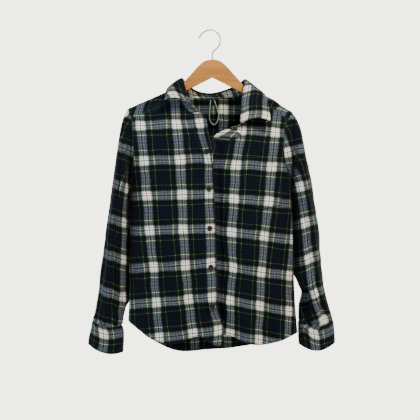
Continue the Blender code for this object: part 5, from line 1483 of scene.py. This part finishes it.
def button(name, at, facing, radius):
    """A turned button, its back at a spot, with its thread."""
    bm = turned_piece(radius * BUTTON_PROFILE["radius"], BUTTON_HEIGHT * BUTTON_PROFILE["height"], 40)
    placed(bm, at, facing)
    add_piece("dressed_" + name, smooth_mesh(bm, name), horn, "button_horn", name)
    bm = bmesh.new()
    for turn in (45.0, 135.0):
        made = bmesh.ops.create_uvsphere(bm, u_segments=12, v_segments=8, radius=1.0)["verts"]
        bmesh.ops.scale(bm, vec=(radius * 0.34, radius * 0.09, 0.0005), verts=made)
        bmesh.ops.rotate(bm, cent=(0, 0, 0), matrix=Matrix.Rotation(math.radians(turn), 3, "Z"), verts=made)
        # The second thread lies a little over the first.
        bmesh.ops.translate(bm, vec=(0.0, 0.0, BUTTON_HEIGHT * 0.54 + turn * 1e-6), verts=made)
    placed(bm, at, facing)
    add_piece(name + "_thread", smooth_mesh(bm, name + "_thread"), thread, "button_horn")


def buttonhole(name, at, facing, up, length):
    """Whipped stitches round a slit: a low round ring, drawn out to the slit's length."""
    turns = np.radians(range(0, 360, 45))
    bm = turned_piece(0.00115 + 0.00055 * np.cos(turns), 0.00026 + 0.00038 * np.sin(turns), 36, closed=True)
    for vert in bm.verts:
        vert.co.y += math.copysign(length / 2 - 0.0017, vert.co.y) * min(1.0, abs(vert.co.y) / 0.0003)
    placed(bm, at, facing, up)
    add_piece(name, smooth_mesh(bm, name), thread, "flannel_placket")


def nearest(grid, spot):
    """The grid's point nearest a spot, its normal and the way down its column."""
    row, column = np.unravel_index(np.argmin(np.linalg.norm(grid - spot, axis=-1)), grid.shape[:2])
    row = min(max(row, 1), grid.shape[0] - 2)
    column = min(max(column, 1), grid.shape[1] - 2)
    down = grid[row + 1, column] - grid[row - 1, column]
    normal = unit(np.cross(grid[row, column + 1] - grid[row, column - 1], down))
    return grid[row, column], normal, unit(down)


def small_button(name, grid):
    """A small button sewn on a piece's cloth, at the middle of the button's solid."""
    middle = np.array(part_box(name)).mean(axis=0)
    spot, facing, _ = nearest(grid, middle)
    facing = facing * np.sign(facing @ (middle - spot))
    button(name, spot + facing * (CLOTH + THREAD_LIFT), facing, SMALL_BUTTON)


FRONT_BUTTONS = table(
    "x z",
    (-0.0080, -0.3093), (-0.0048, -0.4018), (-0.0033, -0.4990), (-0.0005, -0.5950),
    (0.0022, -0.6900),
)
for number, (x, z) in enumerate(zip(FRONT_BUTTONS["x"], FRONT_BUTTONS["z"]), start=1):
    # A small patch of the front, round the button's place.
    near = x + 0.004 * np.array([[-1, 0, 1]] * 3)
    low = z + 0.004 * np.array([[1] * 3, [0] * 3, [-1] * 3])
    patch = body_point(near, low, -1)
    spot, facing, down = nearest(patch, patch[1, 1])
    facing = facing * -np.sign(facing[1])
    button(f"button_{number}", spot + facing * (ON_PANEL + BAND + FRONT_LIFT), facing, FRONT_BUTTON)
    buttonhole(f"buttonhole_{number}", spot + facing * (ON_PANEL + BAND), facing, -down, 0.0142)

small_button("button_collar", fine_stand)
# The buttonhole in the stand's tab runs along the stand.
STAND_TAB = (-0.0425, -0.0520, -0.2040)
row = fine_stand.shape[0] // 2
tab = int(np.argmin(np.linalg.norm(fine_stand[row] - STAND_TAB, axis=1)))
length_way = unit(fine_stand[row, tab + 2] - fine_stand[row, tab - 2])
spot, inward, _ = nearest(fine_stand, fine_stand[row, tab])
buttonhole("buttonhole_collar", spot - inward * CLOTH, -inward, length_way, 0.0130)
for side_name, grid in (("right", cuff_right), ("left", cuff_left)):
    for number in (1, 2):
        small_button(f"button_cuff_{side_name}_{number}", grid)
